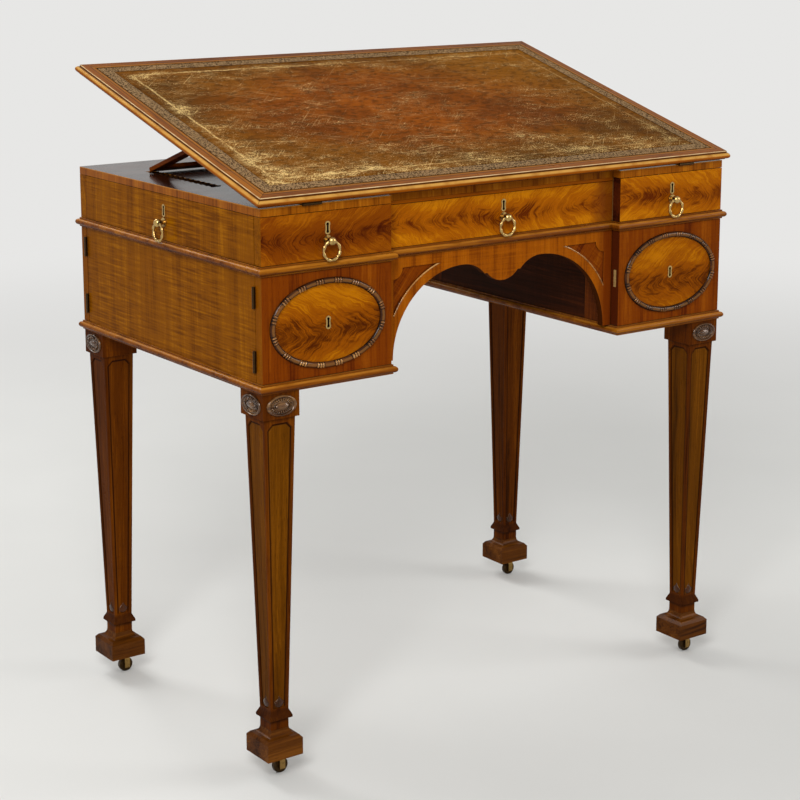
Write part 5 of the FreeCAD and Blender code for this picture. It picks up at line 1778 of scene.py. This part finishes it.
@dataclass
class Drawers:
    """The five frieze drawers with their knotted ring handles."""

    names: tuple[str, ...] = (
        "drawer_centre", "drawer_front_left", "drawer_front_right", "drawer_side_left", "drawer_side_right",
    )
    ring_radius: float = 13.2 * MM
    ring_segments: int = 48
    bar_radius: float = 2.0 * MM
    knots: int = 8
    keyhole_z: float = 787.1 * MM

    def facing(self, name: str) -> tuple[Vector, float]:
        """Gives the way that a drawer faces.

        Args:
            name: The drawer.

        Returns:
            The outward direction, and the turn about Z from the front.
        """
        if name == "drawer_side_left":
            return Vector((-1, 0, 0)), -math.pi / 2
        if name == "drawer_side_right":
            return Vector((1, 0, 0)), math.pi / 2
        return Vector((0, -1, 0)), 0.0

    def dress(self, brass: bpy.types.Material, lining: bpy.types.Material) -> None:
        """Gives the drawers their finish.

        Args:
            brass: The finish of the handles and plates.
            lining: The finish of the boxes.
        """
        leaves = {
            "drawer_centre": (-1.1, FLAMED_GOLD, BANDED),
            "drawer_front_left": (-1.2, FLAMED_RED, GOLDEN),
            # The right drawer's edges take the dark red of painted shade.
            "drawer_front_right": (1.2, FLAMED_GOLD, SHADED_EDGE_RED),
        }
        for number, (name, (lean, tones, ends)) in enumerate(leaves.items()):
            centre = middle_of(f"{name}_front") + Vector((0.0, 0.0, -2 * MM))
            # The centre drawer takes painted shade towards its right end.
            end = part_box(f"{name}_front")[1][0] if name == "drawer_centre" else None
            veneer = DrawerVeneer(
                f"{name}_veneer", centre, lean, 1.7 * number + 0.4, flame=tones, edge=ends, shaded_end=end
            )
            dress([f"{name}_front"], veneer.material(), EdgeCare.EASED, 0.5)
        side = Veneer(
            "side_drawer_veneer", GOLDEN, GrainAxis.Z, ripple=0.6, pores=0.45, bands=0.9
        ).material()
        dress(["drawer_side_left_front", "drawer_side_right_front"], side, EdgeCare.EASED, 0.5)
        dress([f"{name}_box" for name in self.names], lining, EdgeCare.SAWN)
        dress([f"{name}_fittings" for name in self.names], brass, EdgeCare.MOULDED)

    def model_ring(self) -> bpy.types.Object:
        """Models one knotted ring on the XZ plane round the origin.

        Returns:
            The ring.
        """
        ring = begin(
            bpy.ops.mesh.primitive_torus_add, "ring", major_segments=self.ring_segments, minor_segments=12,
            major_radius=self.ring_radius, minor_radius=self.bar_radius * 0.86,
            rotation=(math.pi / 2, 0.0, 0.0),
        )
        set_place(ring)
        pitch = math.tau / self.knots

        def near_knot(spot: Vector) -> bool:
            """Says if a point is on one of the knots, which lie between the hinge points."""
            turn = (math.atan2(spot.z, spot.x) - math.pi / 2) % pitch
            return abs(turn - pitch / 2) < 1.1 * math.tau / self.ring_segments

        with editing(ring, "VERT"):
            pick_points(ring, near_knot)
            bpy.ops.transform.shrink_fatten(value=self.bar_radius * 0.42)
        return ring

    def place_rings(self, brass: bpy.types.Material) -> None:
        """Hangs a ring on each drawer in place of the plain one.

        Args:
            brass: The rings' finish.
        """
        pattern = self.model_ring()
        for name in self.names:
            turn = self.facing(name)[1]
            place = Matrix.Translation(middle_of(f"{name}_ring")) @ Matrix.Rotation(turn, 4, "Z")
            ring = copy_to(pattern, f"{name}_knotted_ring", place)
            settle(ring, f"{name}_handle", "brass", brass, f"{name}_ring")
        discard(pattern)

    def keyhole_spots(self) -> dict[str, tuple[Vector, float]]:
        """Gives each drawer's keyhole place on its face.

        Returns:
            For each drawer, the place and the turn about Z to face outwards.
        """
        spots = {}
        for name in self.names:
            out, turn = self.facing(name)
            low, high = (Vector(corner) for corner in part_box(f"{name}_front"))
            middle, half = (low + high) / 2, (high - low) / 2
            face = Vector((middle.x + out.x * half.x, middle.y + out.y * half.y, self.keyhole_z))
            spots[name] = (face, turn)
        return spots


@dataclass
class Doors:
    """The four cupboard doors with their carved oval mouldings."""

    half_long: float = 90.5 * MM
    half_tall: float = 58.5 * MM
    oval_x: float = 318.75 * MM
    oval_z: float = 651 * MM
    thickness: float = 17 * MM
    bead: float = 4.3 * MM
    groups: int = 16
    beads_each: int = 3
    bead_step: float = 4.1 * MM
    oval_steps: int = 1440
    keyhole_up: float = 5.1 * MM

    def names(self) -> list[tuple[str, float, float]]:
        """Gives the doors.

        Returns:
            Each door's name, the side that it is on and the way that it faces.
        """
        return [
            (f"door_{end}_{side}", -1.0 if side == "left" else 1.0, -1.0 if end == "front" else 1.0)
            for end, side in CORNERS
        ]

    def face(self, out: float) -> float:
        """Gives the place in Y of the doors' faces that look that way."""
        low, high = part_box("drawer_front_left_front" if out < 0 else "rear_frieze")
        return low[1] if out < 0 else high[1]

    def dress(self) -> None:
        """Gives the doors their finish."""
        for number, (name, side, out) in enumerate(self.names()):
            middle = Vector((side * self.oval_x, self.face(out) - out * self.thickness / 2, self.oval_z))
            veneer = DoorVeneer(
                f"{name}_veneer", middle, self.half_long, self.half_tall, self.face(out),
                2.3 * number + 0.9, self.groups, self.beads_each / 2 * self.bead_step + 0.3 * MM,
            )
            dress([name], veneer.material(), EdgeCare.MOULDED)
            fittings = OldBrass(f"{name}_brass", DARK_BRASS, BROWN_TARNISH, 0.3, side * self.oval_x)
            dress([f"{name}_fittings"], fittings.material(), EdgeCare.MOULDED)

    def model_beading(self) -> bpy.types.Object:
        """Models the oval's carving on the XZ plane round the origin: groups of beads that face -Y.

        Returns:
            The beads, joined.
        """
        bead = begin(bpy.ops.mesh.primitive_uv_sphere_add, "bead", segments=10, ring_count=8, radius=1.0)
        with editing(bead, "VERT"):
            bpy.ops.mesh.select_all(action="SELECT")
            bpy.ops.mesh.bisect(plane_co=(0, 0.12, 0), plane_no=(0, 1, 0), clear_outer=True, use_fill=True)
            pick_points(bead, lambda spot: abs(spot.x) < 0.45)
            bpy.ops.transform.resize(value=(1.0, 1.08, 1.06), center_override=(0, 0, 0))
        lengths = [0.0]
        turns = [math.tau * number / self.oval_steps for number in range(self.oval_steps + 1)]
        points = [Vector((self.half_long * math.cos(t), 0.0, self.half_tall * math.sin(t))) for t in turns]
        for first, second in zip(points, points[1:]):
            lengths.append(lengths[-1] + (second - first).length)
        size = Matrix.Diagonal((1.85 * MM, 2.7 * MM, 3.4 * MM, 1.0))
        size = Matrix.Translation((0.0, -0.72 * self.bead, 0.0)) @ size
        pitch = lengths[-1] / self.groups
        copies = []
        at = 0
        for group in range(self.groups):
            for number in range(self.beads_each):
                goal = (group + 0.5) * pitch + (number - (self.beads_each - 1) / 2) * self.bead_step
                while lengths[at] < goal:
                    at += 1
                run = points[at] - points[at - 1]
                turn = Matrix.Rotation(-math.atan2(run.z, run.x), 4, "Y")
                copies.append(copy_to(bead, "bead_copy", Matrix.Translation(points[at]) @ turn @ size))
        discard(bead)
        return join(copies, "beading")

    def place_beading(self, carved: bpy.types.Material) -> None:
        """Sets the carving on each door's oval moulding.

        Args:
            carved: The carving's finish.
        """
        pattern = self.model_beading()
        for name, side, out in self.names():
            face = Matrix.Rotation(0.0 if out < 0 else math.pi, 4, "Z")
            spot = Matrix.Translation((side * self.oval_x, self.face(out), self.oval_z))
            settle(copy_to(pattern, f"{name}_beading", spot @ face), name, "carved_wood", carved)
        discard(pattern)

    def keyhole_spots(self) -> dict[str, tuple[Vector, float]]:
        """Gives each door's keyhole place on its face.

        Returns:
            For each door, the place and the turn about Z to face outwards.
        """
        return {
            name: (
                Vector((side * self.oval_x, self.face(out), self.oval_z + self.keyhole_up)),
                0.0 if out < 0 else math.pi,
            )
            for name, side, out in self.names()
        }


@dataclass
class DrawingSlab:
    """The rising slab: mitred frame, tooled leather, its panel, fittings and prop."""

    half_width: float = 434 * MM
    lip: float = -4.5 * MM
    rear: float = 533 * MM
    top: float = 14.6 * MM
    border: float = 22 * MM
    leather_under: float = 13.4 * MM
    rounding: float = 0.15 * MM
    groove: float = 0.45 * MM
    groove_side: float = 0.4 * MM
    groove_floor: float = 0.5 * MM
    flats: tuple[float, ...] = (1.6 * MM, 1.2 * MM, 15.6 * MM, 1.4 * MM)

    def dress(self, brass: bpy.types.Material, lining: bpy.types.Material) -> None:
        """Gives the slab's CAD parts their finish.

        Args:
            brass: The finish of the hinges and pivots.
            lining: The finish of the panel under the leather.
        """
        border = SlabFrameFinish(self.half_width, self.lip, self.rear, self.top, self.border).material()
        dress(["slab_frame"], border, EdgeCare.EASED, 0.5)
        dress(["slab_panel"], lining, EdgeCare.SAWN)
        dress(["slab_fittings"], brass, EdgeCare.MOULDED)
        prop = Veneer("prop_wood", BANDED, GrainAxis.Y, rough=0.36, polish=Polish(0.05)).material()
        dress(["prop_frame"], prop, EdgeCare.EASED, 0.5)

    def lay_leather(self) -> None:
        """Models the leather: a thin skin with two lines pressed in on each side of its band."""
        half = self.half_width - self.border
        front, rear = self.lip + self.border, self.rear - self.border
        thick = self.top - self.leather_under
        skin = begin(
            bpy.ops.mesh.primitive_plane_add, "leather_skin", size=1.0,
            location=(0.0, (front + rear) / 2, self.leather_under),
        )
        skin.scale = (2 * half, rear - front, 1.0)
        set_place(skin)
        down, up = (self.groove_side, -self.groove), (self.groove_side, self.groove)
        steps = [(0.5 * MM, self.rounding)]
        for flat in self.flats:
            steps.extend(((flat, 0.0), down, (self.groove_floor, 0.0), up))
        with editing(skin, "FACE"):
            bpy.ops.mesh.select_all(action="SELECT")
            upright = (0.0, 0.0, thick - self.rounding)
            bpy.ops.mesh.extrude_region_move(TRANSFORM_OT_translate={"value": upright})
            for inward, lift in steps:
                bpy.ops.mesh.inset(thickness=inward)
                bpy.ops.transform.translate(value=(0.0, 0.0, lift))
            bpy.ops.mesh.select_all(action="SELECT")
            bpy.ops.mesh.normals_make_consistent(inside=False)
        skin.data.transform(Matrix.Translation(SLAB_HINGE) @ Matrix.Rotation(SLAB_TILT, 4, "X"))
        leather = TooledLeather(half, front, rear).material()
        settle(skin, "slab", "leather", leather, "leather_top")


@dataclass
class Castors:
    """The four brass castors."""

    def dress(self, brass: bpy.types.Material, dark: bpy.types.Material) -> None:
        """Gives the castors their finish.

        Args:
            brass: The finish of the forks.
            dark: The finish of the plates and wheels.
        """
        dress(["castor_plates"], dark, EdgeCare.MOULDED)
        for end, side in CORNERS:
            dress([f"castor_fork_{end}_{side}"], brass, EdgeCare.MOULDED)
            dress([f"castor_wheel_{end}_{side}"], dark, EdgeCare.MOULDED)


@dataclass
class Studio:
    """The pale floor, the soft lights and the camera."""

    target: Vector = Vector((-0.0091, 0.0047, 0.5955))
    distance: float = 3.0753
    azimuth: float = math.radians(-35.8517)
    elevation: float = math.radians(11.6522)
    lens: float = 88.2625
    shift_y: float = -0.12
    sensor: float = 36.0
    floor_width: float = 24.0
    fill_level: float = 0.40

    def lay_floor(self) -> None:
        """Lays a wide flat floor, which its finish fades into the surround."""
        floor = begin(bpy.ops.mesh.primitive_plane_add, "studio_floor", size=self.floor_width)
        floor.data.materials.append(StudioFloor().material())

    def hang_lights(self) -> None:
        """Sets a pale surround, a large key light at the left front and two weaker ones."""
        world = bpy.data.worlds.new("studio_surround")
        bpy.context.scene.world = world
        world.use_nodes = True
        bench = NodeBench(world.node_tree)
        world.node_tree.nodes.clear()
        strength = bench.ease(seen_directly(bench), 0.0, 1.0, self.fill_level, SURROUND_LEVEL)
        light = bench.add("ShaderNodeBackground", {"Color": SURROUND, "Strength": strength})
        bench.add("ShaderNodeOutputWorld", {"Surface": light.outputs[0]})
        lamps = (
            ("key_light", (-2.3, -2.4, 2.7), 1.6, 104.0),
            ("side_light", (2.6, -2.0, 1.8), 1.4, 30.0),
            ("back_light", (-0.6, 2.4, 2.8), 1.6, 52.0),
        )
        for name, spot, size, power in lamps:
            bpy.ops.object.select_all(action="DESELECT")
            bpy.ops.object.light_add(type="AREA", location=spot)
            lamp = bpy.context.active_object
            lamp.name = name
            lamp.data.size, lamp.data.energy = size, power
            lamp.rotation_euler = (self.target - Vector(spot)).to_track_quat("-Z", "Y").to_euler()

    def set_camera(self) -> None:
        """Stands the camera where the picture was taken from."""
        away = Vector((
            math.sin(self.azimuth) * math.cos(self.elevation),
            -math.cos(self.azimuth) * math.cos(self.elevation),
            math.sin(self.elevation),
        ))
        bpy.ops.object.select_all(action="DESELECT")
        bpy.ops.object.camera_add(location=self.target + self.distance * away)
        camera = bpy.context.active_object
        camera.rotation_euler = (-away).to_track_quat("-Z", "Y").to_euler()
        camera.data.sensor_width, camera.data.lens = self.sensor, self.lens
        camera.data.shift_y = self.shift_y
        bpy.context.scene.camera = camera
        bpy.context.scene.view_settings.view_transform = "Standard"


def main() -> None:
    """Builds and dresses the table, piece by piece, then the studio round it."""
    logging.basicConfig(level=logging.INFO, format="%(message)s")
    brass = OldBrass("old_brass", PALE_BRASS, tint(70, 48, 22)).material()
    castor_brass = OldBrass("castor_brass", tint(150, 118, 66), tint(28, 20, 12), 0.16).material()
    dark_brass = OldBrass("dark_brass", DARK_BRASS, BROWN_TARNISH, 0.36).material()
    lining = Veneer(
        "lining_oak", LINING, GrainAxis.X, pores=0.7, rough=0.6, polish=Polish(0.0, 0.3, 0.25),
        boards_along_y=True,
    ).material()
    # The carved wood takes the heaviest grime and painted shade in its hollows.
    carved = Veneer(
        "carved_mahogany", CARVED, GrainAxis.X, pores=0.4, rough=0.22, polish=Polish(0.7, 0.05, 0.24),
        grime_and_shade=1.0, reach=4 * MM,
    ).material()
    # The spandrel bead's pale tones are a painted highlight.
    highlit_bead = Veneer(
        "highlit_bead", SLIM_BEAD_HIGHLIT, GrainAxis.X, rough=0.2, polish=Polish(0.9, 0.07, 0.24),
    ).material()
    leaf_wood = Veneer(
        "dark_leaves", DEEP, GrainAxis.Z, pores=0.4, rough=0.26, polish=Polish(0.3, 0.07, 0.2),
    ).material()
    # The pearls' pale tones stand for their highlights.
    pearls = Veneer(
        "highlit_pearls", HIGHLIT_PEARL, GrainAxis.X, pores=0.3, rough=0.2, polish=Polish(0.6, 0.05, 0.15),
    ).material()
    hollow = DarkHollow().material()

    Carcase().dress(dark_brass, lining)
    SpandrelBeads().place(highlit_bead)
    legs = Legs()
    legs.dress()
    legs.place_paterae(carved)
    legs.place_leaves(leaf_wood)
    drawers = Drawers()
    drawers.dress(brass, lining)
    drawers.place_rings(brass)
    doors = Doors()
    doors.dress()
    doors.place_beading(pearls)
    Keyholes().place(drawers.keyhole_spots() | doors.keyhole_spots(), hollow)
    slab = DrawingSlab()
    slab.dress(dark_brass, lining)
    slab.lay_leather()
    Castors().dress(castor_brass, dark_brass)
    studio = Studio()
    studio.lay_floor()
    studio.hang_lights()
    studio.set_camera()


if __name__ == "__main__":
    main()
